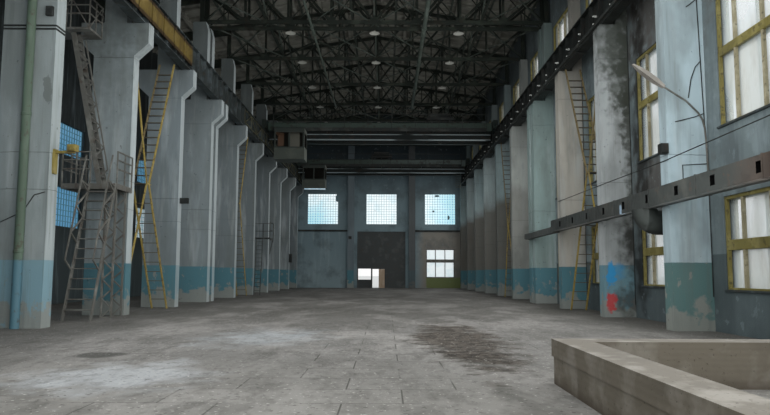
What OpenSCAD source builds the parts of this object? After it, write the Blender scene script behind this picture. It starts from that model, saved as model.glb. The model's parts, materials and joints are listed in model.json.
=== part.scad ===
// Crane hall of a factory building with one side aisle, at half of real size.
// Millimetres. Z is up and Y runs along the hall towards the gable with the gate.
// The origin is on the ground, in the middle of the hall between the crane rails.

/* [Hall] */
// Distance between column lines along the hall
bay = 3000; // [2600:10:3010]
// Number of bays
bays = 13; // [11:1:13]
// Column line to the inner face of a gable wall
end_gap = 250; // [200:10:350]
// Hall centre to the axis of the left columns
left_axis = 4950; // [4800:10:5100]
// Hall centre to the inner face of the right columns
right_face = 4300; // [4200:10:4400]
// Depth of the right columns, up to the wall
right_depth = 575; // [500:5:650]
// Axis of the left columns to the inner face of the aisle wall
aisle = 3050; // [2700:10:3200]
// Thickness of the outer walls
wall_t = 190; // [120:5:195]
// Thickness of the floor slab
floor_t = 75; // [50:5:150]

/* [Columns] */
// Thickness of a column along the hall
col_t = 275; // [225:5:325]
// Width of a left column across the hall
shaft_w = 770; // [700:10:850]
// Overhang of a console beyond the shaft
console = 265; // [200:5:300]
// Height of the upright face of a console
console_h = 400; // [300:10:500]
// Height of the sloping face of a console
console_slope = 250; // [180:10:350]
// Floor to the top of the column heads
head_z = 5560; // [5400:10:5700]
// Width of the upper post on a left column
post_w = 420; // [360:10:440]
// Depth of the upper post on a right column
right_post = 225; // [180:5:260]
// Floor to the top of the upper posts
post_z = 7785; // [7600:5:7900]
// Distance between the twin columns at the expansion joint
twin = 500; // [400:10:600]

/* [Crane girders] */
// Hall centre to each crane rail
rail_x = 4475; // [4460:5:4490]
// Depth of a crane girder
girder_h = 675; // [600:5:750]
// Width of the girder flanges
flange_w = 200; // [160:5:220]
// Thickness of the girder flanges
flange_t = 24; // [16:1:30]
// Thickness of the girder web
web_t = 20; // [12:1:30]
// Spacing of the stiffeners on a girder web
stiffener_pitch = 600; // [500:50:1000]
// Height of the crane rail
rail_h = 65; // [50:1:80]
// Width of the crane rail
rail_w = 50; // [40:1:60]

/* [Roof] */
// Depth of the truss chords
chord = 100; // [70:5:130]
// Thickness of a truss along the hall
truss_t = 80; // [60:5:120]
// Width of the truss diagonals and posts
strut = 60; // [40:5:80]
// Height of a truss over its supports
truss_h = 1140; // [1000:10:1300]
// Rise of the top chord from support to ridge
rise = 750; // [600:10:900]
// Panels of a truss
panels = 8; // [6:2:10]
// Depth of the ribs under the roof slabs
rib_h = 150; // [100:5:200]
// Width of a roof rib
rib_w = 90; // [60:5:120]
// Ribs on each slope of the hall roof
ribs = 6; // [4:1:8]
// Thickness of the roof plate
roof_t = 60; // [40:5:100]
// Overhang of the roof beyond the side walls
eave = 120; // [60:10:200]

/* [Windows] */
// Column line to the first jamb of a window
jamb = 505; // [480:5:600]
// Width of a window in the side walls
win_w = 1985; // [1800:5:2000]
// Floor to the sill of the low windows
low_z = 565; // [500:5:650]
// Height of the low windows
low_h = 1285; // [1100:5:1350]
// Floor to the sill of the middle windows
mid_z = 2800; // [2700:5:2900]
// Height of the middle windows
mid_h = 1950; // [1800:5:2050]
// Floor to the sill of the top windows
top_z = 6850; // [6800:5:6900]
// Height of the top windows
top_h = 750; // [600:5:800]
// Floor to the sill of the low aisle windows
aisle_low_z = 1950; // [1800:5:2100]
// Height of the low aisle windows
aisle_low_h = 1000; // [800:5:1200]
// Floor to the sill of the high aisle windows
aisle_high_z = 3800; // [3700:5:3900]
// Height of the high aisle windows
aisle_high_h = 800; // [600:5:1000]
// Thickness of the glazing
glass_t = 24; // [12:1:40]
// Side of a glass-block window in a gable
block_win = 1660; // [1500:10:1700]
// Floor to the sill of the glass-block windows
block_z = 3475; // [3400:5:3600]
// Spacing of the glass-block windows
block_pitch = 3220; // [3150:10:3300]

/* [Gable and gate] */
// Distance between the two gable pilasters
pilaster_gap = 3340; // [3200:10:3500]
// Width of a pilaster
pilaster_w = 350; // [300:10:400]
// Depth of a pilaster
pilaster_d = 240; // [150:10:245]
// Width of the gateway
gate_w = 2640; // [2500:10:2700]
// Height of the gateway
gate_h = 3070; // [2900:10:3200]
// Thickness of the gate
gate_t = 60; // [40:2:80]
// Gate centre to the hinge side of the wicket
wicket_hinge = 180; // [150:5:250]
// Width of the wicket opening
wicket_w = 660; // [600:5:700]
// Height of the wicket opening
wicket_h = 1025; // [980:5:1060]
// Thickness of the wicket leaf
leaf_t = 25; // [15:1:35]
// Angle at which the wicket stands open
wicket_open = 63; // [40:1:80]
// Width of the window in the gate
gate_win_w = 700; // [600:10:750]
// Height of the window in the gate
gate_win_h = 590; // [500:10:650]
// Floor to the sill of the window in the gate
gate_win_z = 450; // [400:10:500]
// Width of the steel window beside the gate
side_win_w = 1555; // [1400:5:1600]
// Floor to the sill of the steel window
side_win_z = 555; // [500:5:600]
// Height of the steel window
side_win_h = 1570; // [1400:5:1700]
// Floor to the underside of the ledge beams
ledge_z = 3060; // [3000:5:3100]
// Depth and height of the ledge beams
ledge = 90; // [60:5:120]

/* [Pit] */
// Hall centre to the face of the pit rim
pit_x = 1475; // [1400:5:1600]
// Width of the pit across the hall
pit_w = 2550; // [2200:10:2650]
// Length of the pit along the hall
pit_l = 6300; // [5000:50:6500]
// Near gable to the pit rim
pit_gap = 1250; // [1000:50:1500]
// Height of the pit rim
pit_h = 320; // [250:5:400]
// Thickness of the pit rim
pit_t = 240; // [180:5:300]
// Height of the capping course on the pit rim
cap_h = 122; // [80:2:150]
// How far the capping course stands proud of the rim
cap_out = 12; // [5:1:25]

/* [Duct and pipe] */
// Height of the air duct
duct_h = 250; // [200:5:300]
// Depth of the air duct
duct_d = 200; // [150:5:250]
// Floor to the underside of the duct
duct_z = 1770; // [1700:5:1800]
// Side of the square outlets in the duct
outlet = 125; // [90:5:150]
// Radius of the round elbow under the duct
elbow_r = 185; // [150:5:195]
// Radius along which the middle of the elbow bends
elbow_bend = 200; // [195:5:240]
// Column line to the middle of the elbow
elbow_y = 550; // [500:10:900]
// Radius of the downpipe
pipe_r = 62; // [40:1:80]

/* [Ladders] */
// Width of the yellow ladders
ladder_w = 350; // [300:5:400]
// Depth of a ladder stringer
stringer = 60; // [40:2:80]
// Spacing of the treads of an upper flight, measured upwards
tread_step = 175; // [130:5:200]
// Spacing of the rungs of a lower flight, measured upwards
rung_step = 200; // [140:5:220]
// Thickness of a tread
tread_t = 16; // [10:1:24]
// Thickness of ladder and railing bars
bar_t = 22; // [16:1:30]
// Height of the railings
railing_h = 580; // [480:10:620]
// Floor to the top of the middle platform
platform_z = 2355; // [2200:5:2450]
// Depth of the middle platform, out from the column
platform_d = 710; // [620:10:800]
// Floor to the top of the upper landing
landing_z = 5265; // [5200:5:5290]
// Depth of the upper landing, out from the column
landing_d = 570; // [520:10:620]
// Width of the grey stair
stair_w = 480; // [400:5:520]
// Length of the grey stair along the floor
stair_run = 780; // [700:10:900]
// Spacing of the steps of the grey stair, measured upwards
stair_step = 170; // [140:5:200]
// Width of the upper grey flight
upper_w = 270; // [240:5:300]
// How far a handrail stands out from its stringer
handrail_out = 330; // [250:10:400]

/* [Cranes] */
// Distance between the two girders of a crane
bridge_gap = 900; // [800:10:1100]
// Width of a bridge girder
bridge_w = 190; // [150:5:240]
// Depth of a bridge girder
bridge_h = 665; // [600:5:700]
// How far a bridge girder hangs below the rail top
bridge_drop = 290; // [260:5:320]
// Thickness of the flanges of a bridge girder
bridge_flange = 20; // [12:1:26]
// Bridge girder top to the walkway deck
walkway_drop = 300; // [240:5:320]
// Width of the walkway
walkway_w = 340; // [280:10:380]
// Length of an end carriage
carriage_l = 2000; // [1900:10:2200]
// Height of an end carriage
carriage_h = 340; // [280:5:400]
// Width of an end carriage
carriage_w = 170; // [130:5:190]
// Radius of a crane wheel
wheel_r = 150; // [120:5:160]
// Far gable to the middle of the far crane
far_crane_gap = 1565; // [1540:5:1800]
// Far gable to the middle of the near crane
near_crane_gap = 10300; // [8000:50:12000]
// Bridge end to the driver's cab
cab_gap = 340; // [300:10:400]
// Length of a driver's cab
cab_l = 1150; // [1000:10:1250]
// Height of a driver's cab
cab_h = 1190; // [1100:10:1250]
// Width of a driver's cab
cab_w = 850; // [760:10:860]
// Bottom of a cab to its sills
cab_sill = 475; // [420:5:520]
// Height of the windows of a cab
cab_win_h = 550; // [480:5:580]
// Hall centre to the trolley of the near crane
near_trolley_x = 2400; // [0:100:3000]
// Hall centre to the trolley of the far crane
far_trolley_x = 0; // [-2000:100:2000]

/* [Hidden] */

// Clearance that seats a piece without touching it
seat = 0.3;
$fn = 48;

// Plan
hall_l = bays * bay;
inner_y = hall_l / 2 + end_gap;
outer_y = inner_y + wall_t;
right_in = right_face + right_depth;
right_out = right_in + wall_t;
left_in = -left_axis - aisle;
left_out = left_in - wall_t;
shaft_in = -left_axis + shaft_w / 2;
shaft_out = -left_axis - shaft_w / 2;

// Column lines: index 0 stands at the near gable, the twin pair at the joint line
joint_line = 7;
function line_y(k) = -hall_l / 2 + k * bay;
lines = [for (k = [0 : bays]) if (k != joint_line) line_y(k)];
all_lines = concat([line_y(joint_line) - twin / 2, line_y(joint_line) + twin / 2], lines);

// Roof, in the plane across the hall: top of the trusses, and underside of the roof plates.
// The walls end a seat below the plates, and the ribs stop a seat above the trusses
truss_l = -left_axis;
truss_r = right_in - right_post / 2;
ridge_x = (truss_l + truss_r) / 2;
half_span = (truss_r - truss_l) / 2;
slope = rise / half_span;
chord_z = floor_t + post_z + chord / 2;
function roof_z(x) = floor_t + post_z + truss_h + rise - slope * abs(x - ridge_x);
function plate_z(x) = roof_z(x) + rib_h;
function wall_top(x) = plate_z(x) - seat;

module across(y0, depth) {
    translate([0, y0 + depth, 0]) rotate([90, 0, 0]) linear_extrude(depth) children();
}

module block(x0, y0, z0, x1, y1, z1) {
    translate([x0, y0, z0]) cube([x1 - x0, y1 - y0, z1 - z0]);
}

module stick(p, q, w) {
    d = q - p;
    translate(p) rotate(atan2(d[1], d[0])) translate([0, -w / 2]) square([norm(d), w]);
}

// Ground works
module floor_slab() {
    color("gray") union() {
        block(left_in, -inner_y, 0, right_in, inner_y, floor_t);
        block(-gate_w / 2, inner_y, 0, gate_w / 2, outer_y, floor_t);
    }
}

module pit_ring(out, z0, z1) {
    y0 = -inner_y + pit_gap;
    difference() {
        block(pit_x - out, y0 - out, z0, pit_x + pit_w + out, y0 + pit_l + out, z1);
        block(pit_x + pit_t, y0 + pit_t, z0 - 1, pit_x + pit_w - pit_t, y0 + pit_l - pit_t, z1 + 1);
    }
}

module pit_rim() {
    color("darkgray") union() {
        pit_ring(-cap_out, floor_t, floor_t + pit_h - cap_h);
        pit_ring(0, floor_t + pit_h - cap_h, floor_t + pit_h);
    }
}

// Walls
module gable_outline(x0, x1, z0) {
    polygon(concat([[x0, z0], [x1, z0], [x1, wall_top(x1)]],
        x0 < ridge_x && x1 > ridge_x ? [[ridge_x, wall_top(ridge_x)]] : [],
        [[x0, wall_top(x0)]]));
}

module block_window(i) {
    translate([i * block_pitch - block_win / 2, floor_t + block_z]) square(block_win);
}

module side_window() {
    translate([block_pitch - side_win_w / 2, floor_t + side_win_z])
        square([side_win_w, side_win_h]);
}

module far_wall_left() {
    color("lightsteelblue") across(inner_y, wall_t) difference() {
        gable_outline(left_out, -gate_w / 2, 0);
        block_window(-1);
    }
}

module far_wall_right() {
    color("lightsteelblue") across(inner_y, wall_t) difference() {
        gable_outline(gate_w / 2, right_out, 0);
        block_window(1);
        side_window();
    }
}

module far_wall_over_gate() {
    color("lightsteelblue") across(inner_y, wall_t) difference() {
        gable_outline(-gate_w / 2, gate_w / 2, floor_t + gate_h);
        block_window(0);
    }
}

module near_wall() {
    color("lightsteelblue") across(-outer_y, wall_t) difference() {
        gable_outline(left_out, right_out, 0);
        for (i = [-1 : 1]) block_window(i);
    }
}

module window_row(z0, h) {
    for (k = [0 : bays - 1])
        translate([line_y(k) + jamb, floor_t + z0]) square([win_w, h]);
}

module along(x0, depth) {
    translate([x0, 0, 0]) rotate([90, 0, 90]) linear_extrude(depth) children();
}

module right_wall() {
    color("lightsteelblue") difference() {
        across(-inner_y, 2 * inner_y) polygon([[right_in, 0], [right_out, 0],
            [right_out, wall_top(right_out)], [right_in, wall_top(right_in)]]);
        along(right_in - 1, wall_t + 2) {
            window_row(low_z, low_h);
            window_row(mid_z, mid_h);
            window_row(top_z, top_h);
        }
    }
}

module left_wall() {
    color("slategray") difference() {
        across(-inner_y, 2 * inner_y) polygon([[left_out, 0], [left_in, 0],
            [left_in, wall_top(left_in)], [left_out, wall_top(left_out)]]);
        along(left_out - 1, wall_t + 2) {
            window_row(aisle_low_z, aisle_low_h);
            window_row(aisle_high_z, aisle_high_h);
        }
    }
}

module gable_pilasters() {
    color("silver") for (sx = [-1, 1], sy = [-1, 1])
        translate([sx * pilaster_gap / 2 - pilaster_w / 2,
            sy > 0 ? inner_y - pilaster_d : -inner_y, floor_t])
            cube([pilaster_w, pilaster_d, post_z]);
}

module gable_ledges() {
    inner = pilaster_gap / 2 + pilaster_w / 2;
    color("dimgray") {
        block(shaft_in, inner_y - ledge, floor_t + ledge_z, -inner, inner_y,
            floor_t + ledge_z + ledge);
        block(inner, inner_y - ledge, floor_t + ledge_z, right_face, inner_y,
            floor_t + ledge_z + ledge);
    }
}

// Roof
module roof_plate(x0, x1) {
    polygon([[x0, plate_z(x0)], [x1, plate_z(x1)], [x1, plate_z(x1) + roof_t],
        [x0, plate_z(x0) + roof_t]]);
}

module roof_rib(x) {
    x0 = x - rib_w / 2;
    x1 = x + rib_w / 2;
    polygon([[x0, roof_z(x0) + seat], [x1, roof_z(x1) + seat],
        [x1, plate_z(x1) + roof_t / 2], [x0, plate_z(x0) + roof_t / 2]]);
}

rib_pitch = half_span / ribs;

module roof_left_slope() {
    color("dimgray") union() {
        across(-outer_y, 2 * outer_y) roof_plate(left_out - eave, ridge_x);
        across(-inner_y, 2 * inner_y) {
            for (i = [0.25 : 1 : ribs]) roof_rib(ridge_x - i * rib_pitch);
            for (i = [0.5 : 1 : 3.5])
                roof_rib(truss_l - rib_w - i * (aisle - 2 * rib_w) / 4);
        }
    }
}

module roof_right_slope() {
    color("dimgray") union() {
        across(-outer_y, 2 * outer_y) roof_plate(ridge_x, right_out + eave);
        across(-inner_y, 2 * inner_y)
            for (i = [0.25 : 1 : ribs]) roof_rib(ridge_x + i * rib_pitch);
    }
}

gusset = 2.4 * chord;

module truss_outline() {
    low = floor_t + post_z;
    panel = 2 * half_span / panels;
    function foot(i) = [truss_l + i * panel, chord_z];
    function top(i) = [truss_l + i * panel, roof_z(truss_l + i * panel) - chord / 2];
    polygon([[truss_l - strut, low], [truss_r + strut, low], [truss_r + strut, low + chord],
        [truss_l - strut, low + chord]]);
    polygon([[truss_l - strut, roof_z(truss_l - strut)], [ridge_x, roof_z(ridge_x)],
        [truss_r + strut, roof_z(truss_r + strut)],
        [truss_r + strut, roof_z(truss_r + strut) - chord], [ridge_x, roof_z(ridge_x) - chord],
        [truss_l - strut, roof_z(truss_l - strut) - chord]]);
    for (i = [0 : panels]) stick(foot(i), top(i), i == 0 || i == panels ? 2 * strut : strut);
    for (i = [1 : panels - 1]) {
        translate(foot(i) - [gusset / 2, chord / 2]) square([gusset, chord + gusset / 3]);
        translate(top(i) - [gusset / 2, chord / 2 + gusset / 3]) square([gusset, gusset / 2]);
    }
    for (i = [0 : panels - 1])
        if (i < panels / 2) stick(top(i), foot(i + 1), strut);
        else stick(foot(i), top(i + 1), strut);
}

module trusses(near) {
    color("darkslategray") for (y = all_lines)
        if (near == (y < line_y(joint_line))) across(y - truss_t / 2, truss_t) truss_outline();
}

module trusses_near() { trusses(true); }

module trusses_far() { trusses(false); }

// A beam from each left post to the aisle wall carries the slabs over the aisle
beam_h = 300;
module aisle_beams() {
    x1 = truss_l - strut - seat;
    color("darkslategray") for (y = all_lines) across(y - truss_t / 2, truss_t)
        polygon([[left_in, roof_z(left_in) - beam_h], [x1, roof_z(x1) - beam_h],
            [x1, roof_z(x1)], [left_in, roof_z(left_in)]]);
}

// Ties that run along the hall on the bottom chords, with crosses between them in some bays
module roof_ties() {
    panel = 2 * half_span / panels;
    z = chord_z + chord / 2 + seat;
    function tie_x(i) = truss_l + (i + 0.5) * panel;
    color("darkslategray") {
        for (i = [1, 3, 4, 6])
            block(tie_x(i) - strut / 2, line_y(0) - truss_t / 2, z, tie_x(i) + strut / 2,
                line_y(bays) + truss_t / 2, z + strut);
        for (pair = [[1, 3], [4, 6]], k = [1 : 3 : bays - 1]) {
            a = [tie_x(pair[0]) + strut / 2 + seat, line_y(k) + strut];
            b = [tie_x(pair[1]) - strut / 2 - seat, line_y(k + 1) - strut];
            translate([0, 0, z]) linear_extrude(strut / 2) intersection() {
                translate(a) square(b - a);
                union() {
                    stick(a, b, strut);
                    stick([a[0], b[1]], [b[0], a[1]], strut);
                }
            }
        }
    }
}

// Columns
module left_outline() {
    half = shaft_w / 2;
    reach = half + console;
    chamfer = 60;
    under = head_z - console_h - console_slope;
    polygon([[-half, 0], [half, 0], [half, under], [reach, head_z - console_h],
        [reach, head_z], [post_w / 2, head_z], [post_w / 2, post_z - 4 * chamfer],
        [post_w / 2 - chamfer, post_z], [-post_w / 2, post_z], [-post_w / 2, head_z],
        [-reach, head_z], [-reach, head_z - console_h], [-half, under]]);
}

module left_columns() {
    color("lightgray") for (y = all_lines)
        across(y - col_t / 2, col_t) translate([-left_axis, floor_t]) left_outline();
}

module right_columns() {
    color("lightgray") for (y = all_lines) across(y - col_t / 2, col_t)
        polygon([[right_face, floor_t], [right_in, floor_t], [right_in, floor_t + post_z],
            [right_in - right_post, floor_t + post_z],
            [right_in - right_post, floor_t + head_z], [right_face, floor_t + head_z]]);
}

// Crane runway
girder_z = floor_t + head_z;
rail_top = girder_z + girder_h + rail_h;

module girder_outline() {
    translate([-flange_w / 2, 0]) square([flange_w, flange_t]);
    translate([-web_t / 2, 0]) square([web_t, girder_h]);
    translate([-flange_w / 2, girder_h - flange_t]) square([flange_w, flange_t]);
    translate([-rail_w / 2, girder_h]) square([rail_w, rail_h]);
}

stiffener_t = 14;

module crane_girder(side) {
    n = floor(hall_l / stiffener_pitch);
    union() {
        across(line_y(0) - col_t / 2, hall_l + col_t)
            translate([side * rail_x, girder_z]) girder_outline();
        for (i = [0 : n])
            translate([side * rail_x - flange_w / 2, line_y(0) + i * stiffener_pitch - stiffener_t / 2,
                girder_z + flange_t]) cube([flange_w, stiffener_t, girder_h - 2 * flange_t]);
    }
}

module left_crane_girder() { color("slategray") crane_girder(-1); }

module right_crane_girder() { color("darkslategray") crane_girder(1); }

// Bare panels on the stiffeners of the left girder, along its near stretch
panel_l = 640;
panel_gap = 60;
panel_t = 16;
panels_n = 10;
panel_z = girder_z + 115;
panel_h = 450;
module girder_panels() {
    x = -rail_x + flange_w / 2 + seat;
    color("goldenrod") for (i = [1 : panels_n])
        translate([x, line_y(6) - i * (panel_l + panel_gap), panel_z])
            cube([panel_t, panel_l, panel_h]);
}

// Lattice on the stiffeners of the left girder, beyond the twin columns
lattice_t = 14;
module girder_lattice() {
    x = -rail_x + flange_w / 2 + seat;
    y0 = line_y(8);
    y1 = line_y(bays);
    n = 3 * (bays - 8);
    step = (y1 - y0) / n;
    bar = strut / 2;
    low = panel_z + bar / 2;
    high = panel_z + panel_h - bar / 2;
    color("darkkhaki") along(x, lattice_t) {
        for (z = [panel_z, panel_z + panel_h - bar]) translate([y0, z]) square([y1 - y0, bar]);
        for (i = [0 : n]) translate([y0 + i * step - bar / 2, panel_z]) square([bar, panel_h]);
        for (i = [0 : n - 1])
            stick([y0 + i * step, i % 2 == 0 ? low : high],
                [y0 + (i + 1) * step, i % 2 == 0 ? high : low], bar);
    }
}

// Power rails held by brackets under the right girder's inner edge
module conductor_rail() {
    reach = 105;
    pitch = 45;
    bar = 30;
    bar_h = 50;
    bracket_h = 40;
    x0 = right_face - reach;
    color("dimgray") union() {
        for (k = [0 : bays]) {
            y = line_y(k) + bay / 2 * (k == bays ? -1 : 1);
            block(x0, y - bar, girder_z - bracket_h, rail_x + flange_w / 2, y + bar,
                girder_z - seat);
        }
        for (i = [0 : 1])
            block(x0 + i * pitch, line_y(0), girder_z - bracket_h - bar_h, x0 + bar + i * pitch,
                line_y(bays), girder_z - bracket_h);
    }
}

// Air duct on the faces of the right columns
duct_x = right_face - duct_d;
duct_y0 = line_y(2) + 110;
duct_y1 = line_y(6);
duct_y2 = line_y(7) + 300;
collar = 8;
outlet_y0 = bay / 3 + 15;
module air_duct() {
    z0 = floor_t + duct_z;
    recess = 80;
    setback = 60;
    drop = 20;
    color("gray") difference() {
        union() {
            block(duct_x, duct_y0, z0, right_face - seat, duct_y1, z0 + duct_h);
            block(duct_x + setback, duct_y1, z0 - drop, right_face - seat, duct_y2,
                z0 + duct_h / 2);
            for (y = [duct_y0 : bay / 2 : duct_y1])
                block(duct_x - collar, y, z0 - collar, right_face - seat, y + 3 * collar,
                    z0 + duct_h + collar);
        }
        for (y = [duct_y0 + outlet_y0 : bay / 3 : duct_y1 - outlet])
            block(duct_x - 1, y, z0 + duct_h / 2 - outlet / 2, duct_x + recess, y + outlet,
                z0 + duct_h / 2 + outlet / 2);
    }
}

// Round elbow that turns from the underside of the duct and runs on to the wall
module duct_elbow() {
    x = duct_x + duct_d / 2 + elbow_bend;
    color("gray") translate([x, line_y(4) + elbow_y, floor_t + duct_z - seat]) union() {
        rotate([90, 0, 0]) rotate([0, 0, 180]) rotate_extrude(angle = 90)
            translate([elbow_bend, 0]) circle(elbow_r);
        translate([0, 0, -elbow_bend]) rotate([0, 90, 0])
            cylinder(r = elbow_r, h = right_in - seat - x);
    }
}

// Downpipe on the near face of the fifth left column
pipe_x = -left_axis + 50;
pipe_gap = 100;
module downpipe() {
    color("darkseagreen") translate([pipe_x, line_y(4) - col_t / 2 - pipe_r - seat, floor_t])
        cylinder(r = pipe_r, h = post_z - pipe_gap);
}

// Stair to the left crane girder, in front of the sixth left column
col2_face = line_y(5) - col_t / 2;
deck_t = 40;
fascia = 95;
deck_out = 165;
deck_in = 65;
deck_x0 = shaft_out - deck_out;
deck_x1 = shaft_in + deck_in;
deck_y0 = col2_face - platform_d;
stair_x0 = deck_x1 - stair_w;
landing_out = 565;
landing_in = 150;
landing_x0 = shaft_out - landing_out;
landing_x1 = shaft_out + landing_in;
landing_y0 = col2_face - landing_d;
upper_gap = 145;
upper_y0 = col2_face - upper_w - upper_gap;
upper_foot = 395;
upper_x = shaft_out + upper_foot;
upper_run = 620;
upper_t = 1.5 * stringer;
platform_rails = [0.47, 0.75, 1];
walkway_rails = [0.5, 1];

// Posts and rails from one end to the other, with the rails at shares of the height
module railing(p, q, h, rails, pitch) {
    d = q - p;
    n = max(1, ceil(norm(d) / pitch));
    translate(p) rotate([0, 0, atan2(d[1], d[0])]) {
        for (i = [0 : n]) translate([i * (norm(d) - bar_t) / n, 0, 0]) cube([bar_t, bar_t, h]);
        for (f = rails) translate([0, 0, f * h - bar_t]) cube([norm(d), bar_t, bar_t]);
    }
}

module platform_railing(p, q) { railing(p, q, railing_h, platform_rails, bay / 6); }

module stair_platforms() {
    z = floor_t + platform_z;
    top = floor_t + landing_z;
    wall_y = col2_face - seat;
    hatch_x0 = upper_x - upper_run - upper_t;
    mid_x = (landing_x1 - landing_x0) / 2;
    brace = 0.8 * bar_t;
    color("dimgray") {
        union() {
            block(deck_x0, deck_y0, z - deck_t, deck_x1, wall_y, z);
            for (x = [deck_x0, deck_x1 - bar_t])
                block(x, deck_y0, z - fascia, x + bar_t, wall_y, z);
            block(deck_x0, deck_y0, z - fascia, deck_x1, deck_y0 + bar_t, z);
            platform_railing([deck_x0, deck_y0, z], [stair_x0, deck_y0, z]);
            platform_railing([deck_x0 + bar_t, deck_y0, z], [deck_x0 + bar_t, wall_y, z]);
            platform_railing([deck_x1, deck_y0, z], [deck_x1, wall_y, z]);
            platform_railing([deck_x0, wall_y - bar_t, z], [shaft_out - bar_t, wall_y - bar_t, z]);
        }
        union() {
            difference() {
                block(landing_x0, landing_y0, top - deck_t, landing_x1, wall_y, top);
                block(hatch_x0, upper_y0 - seat, top - deck_t - 1, hatch_x0 + 3 * upper_t,
                    upper_y0 + upper_w + seat, top + 1);
            }
            platform_railing([landing_x0, landing_y0, top], [landing_x1, landing_y0, top]);
            platform_railing([landing_x1, landing_y0, top], [landing_x1, wall_y, top]);
            platform_railing([landing_x0 + bar_t, landing_y0, top],
                [landing_x0 + bar_t, wall_y, top]);
            across(landing_y0 + bar_t / 4, bar_t / 2) translate([landing_x0, top]) {
                stick([bar_t / 2, -brace], [mid_x, railing_h - bar_t], brace);
                stick([mid_x, railing_h - bar_t], [2 * mid_x - bar_t / 2, -brace], brace);
            }
            along(landing_x1 - bar_t * 3 / 4, bar_t / 2)
                stick([landing_y0 + bar_t / 2, top - brace], [wall_y - bar_t, top + railing_h - bar_t],
                    brace);
        }
    }
}

// Laced legs under the platform
module platform_tower() {
    w = 210;
    back = 220;
    flat = 1.5 * bar_t;
    h = platform_z - deck_t - seat;
    laces = 14;
    x0 = deck_x1 - bar_t - w;
    color("dimgray") for (y = [deck_y0 + 2 * bar_t, col2_face - back])
        across(y, flat) translate([x0, floor_t]) {
            square([flat, h]);
            translate([w - flat, 0]) square([flat, h]);
            for (j = [0 : laces - 1])
                stick([j % 2 == 0 ? flat : w - flat, (j + 0.1) * h / laces],
                    [j % 2 == 0 ? w - flat : flat, (j + 0.9) * h / laces], bar_t);
            translate([0, h - 2 * flat]) square([w, 2 * flat]);
            square([w, flat / 2]);
        }
}

// Side view of a stringer cut level at both ends
module stringer_side(p, q, w) {
    intersection() {
        stick(p + (p - q) / norm(p - q) * w, q + (q - p) / norm(p - q) * w, w);
        translate([min(p[0], q[0]) - 2 * w, p[1]])
            square([abs(q[0] - p[0]) + 4 * w, q[1] - p[1]]);
    }
}

// Side view of a handrail laced to its stringer, from share f0 to share f1 of the flight
module handrail_side(p, q, out, f0, f1, laces) {
    function rail(f) = p + f * (q - p) + [out, 0];
    function foot(f) = p + min(f, 0.97) * (q - p);
    step = (f1 - f0) / laces;
    stick(rail(f0), rail(f1), bar_t);
    for (i = [0 : laces - 1]) {
        stick(rail(f0 + i * step), foot(f0 + (i - 0.4) * step), bar_t);
        if (i > 0) stick(rail(f0 + i * step), foot(f0 + (i + 0.6) * step), bar_t);
    }
}

// A steep flight between two points of the plane along the hall
module flight(x0, w, p, q, step, tread) {
    n = floor((q[1] - p[1]) / step);
    d = (q - p) / (q[1] - p[1]) * step;
    union() {
        for (x = [x0, x0 + w - bar_t]) along(x, bar_t) stringer_side(p, q, stringer);
        for (i = [1 : n - 1])
            translate([x0, p[0] + i * d[0] - tread / 2, p[1] + i * d[1]])
                cube([w, tread, tread_t]);
    }
}

module grey_stairs() {
    depth = 1.2 * stringer;
    rail_span = [0.42, 1.2];
    upper_span = [0.1, 0.93];
    half = depth / 2 * norm([stair_run, platform_z]) / platform_z;
    head = [deck_y0 - half - seat, floor_t + platform_z];
    foot = [head[0] - stair_run, floor_t + seat];
    n = round(platform_z / stair_step);
    color("dimgray") {
        for (x = [stair_x0, stair_x0 + stair_w - bar_t]) along(x, bar_t) {
            stringer_side(foot, head, depth);
            handrail_side(foot, head, -handrail_out, rail_span[0], rail_span[1], 4);
        }
        for (i = [1 : n - 1])
            translate([stair_x0 + bar_t + seat, foot[0] - depth / 2 + i * (head[0] - foot[0]) / n,
                floor_t + i * platform_z / n])
                cube([stair_w - 2 * bar_t - 2 * seat, 1.6 * depth, tread_t]);
    }
    low = [upper_x, floor_t + platform_z + seat];
    high = [upper_x - upper_run, floor_t + landing_z];
    m = round((high[1] - low[1]) / tread_step);
    color("dimgray") {
        for (y = [upper_y0, upper_y0 + upper_w - bar_t]) across(y, bar_t) {
            stringer_side(low, high, upper_t);
            if (y == upper_y0)
                handrail_side(low, high, 0.6 * handrail_out, upper_span[0], upper_span[1], 6);
        }
        for (i = [1 : m - 1])
            translate([low[0] - stringer / 2 + i * (high[0] - low[0]) / m, upper_y0 + bar_t + seat,
                low[1] + i * (high[1] - low[1]) / m])
                cube([stringer, upper_w - 2 * bar_t - 2 * seat, tread_t]);
    }
}

// Side view of a strut from a ladder's turn back to the face of the column behind it
module strut_side(turn, wall_y, z) {
    far = turn + ([wall_y, z] - turn) * 1.3;
    intersection() {
        stick(turn, far, 0.75 * stringer);
        translate([wall_y + seat, min(turn[1], z) - bay]) square([bay, 2 * bay]);
    }
}

// Zigzag ladder: the lower flight leans towards the near gable, the upper one back.
// Its turn is held from the column behind by struts that meet the column at each height in props
module zigzag(x0, strut_x, wall_y, foot_y, turn_y, top_y, turn_h, top_h, props) {
    z = floor_t + turn_h;
    pad = 2 * stringer;
    flight(x0, ladder_w, [foot_y, floor_t + seat], [turn_y, z - tread_t - seat], rung_step, bar_t);
    union() {
        block(x0, turn_y - pad, z - tread_t, x0 + ladder_w, turn_y + pad, z);
        for (p = props) along(strut_x, bar_t) strut_side([turn_y - pad, z - tread_t / 2], wall_y, p);
    }
    flight(x0, ladder_w, [turn_y, z + seat], [top_y, floor_t + top_h], tread_step, stringer);
}

module left_zigzag(k, foot, turn, top, turn_h, props) {
    x0 = shaft_in - ladder_w;
    zigzag(x0, x0 + ladder_w - bar_t, line_y(k - 1) + col_t / 2, line_y(k) - foot, line_y(k) - turn,
        line_y(k) - top, turn_h, head_z - stringer, props);
}

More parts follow.
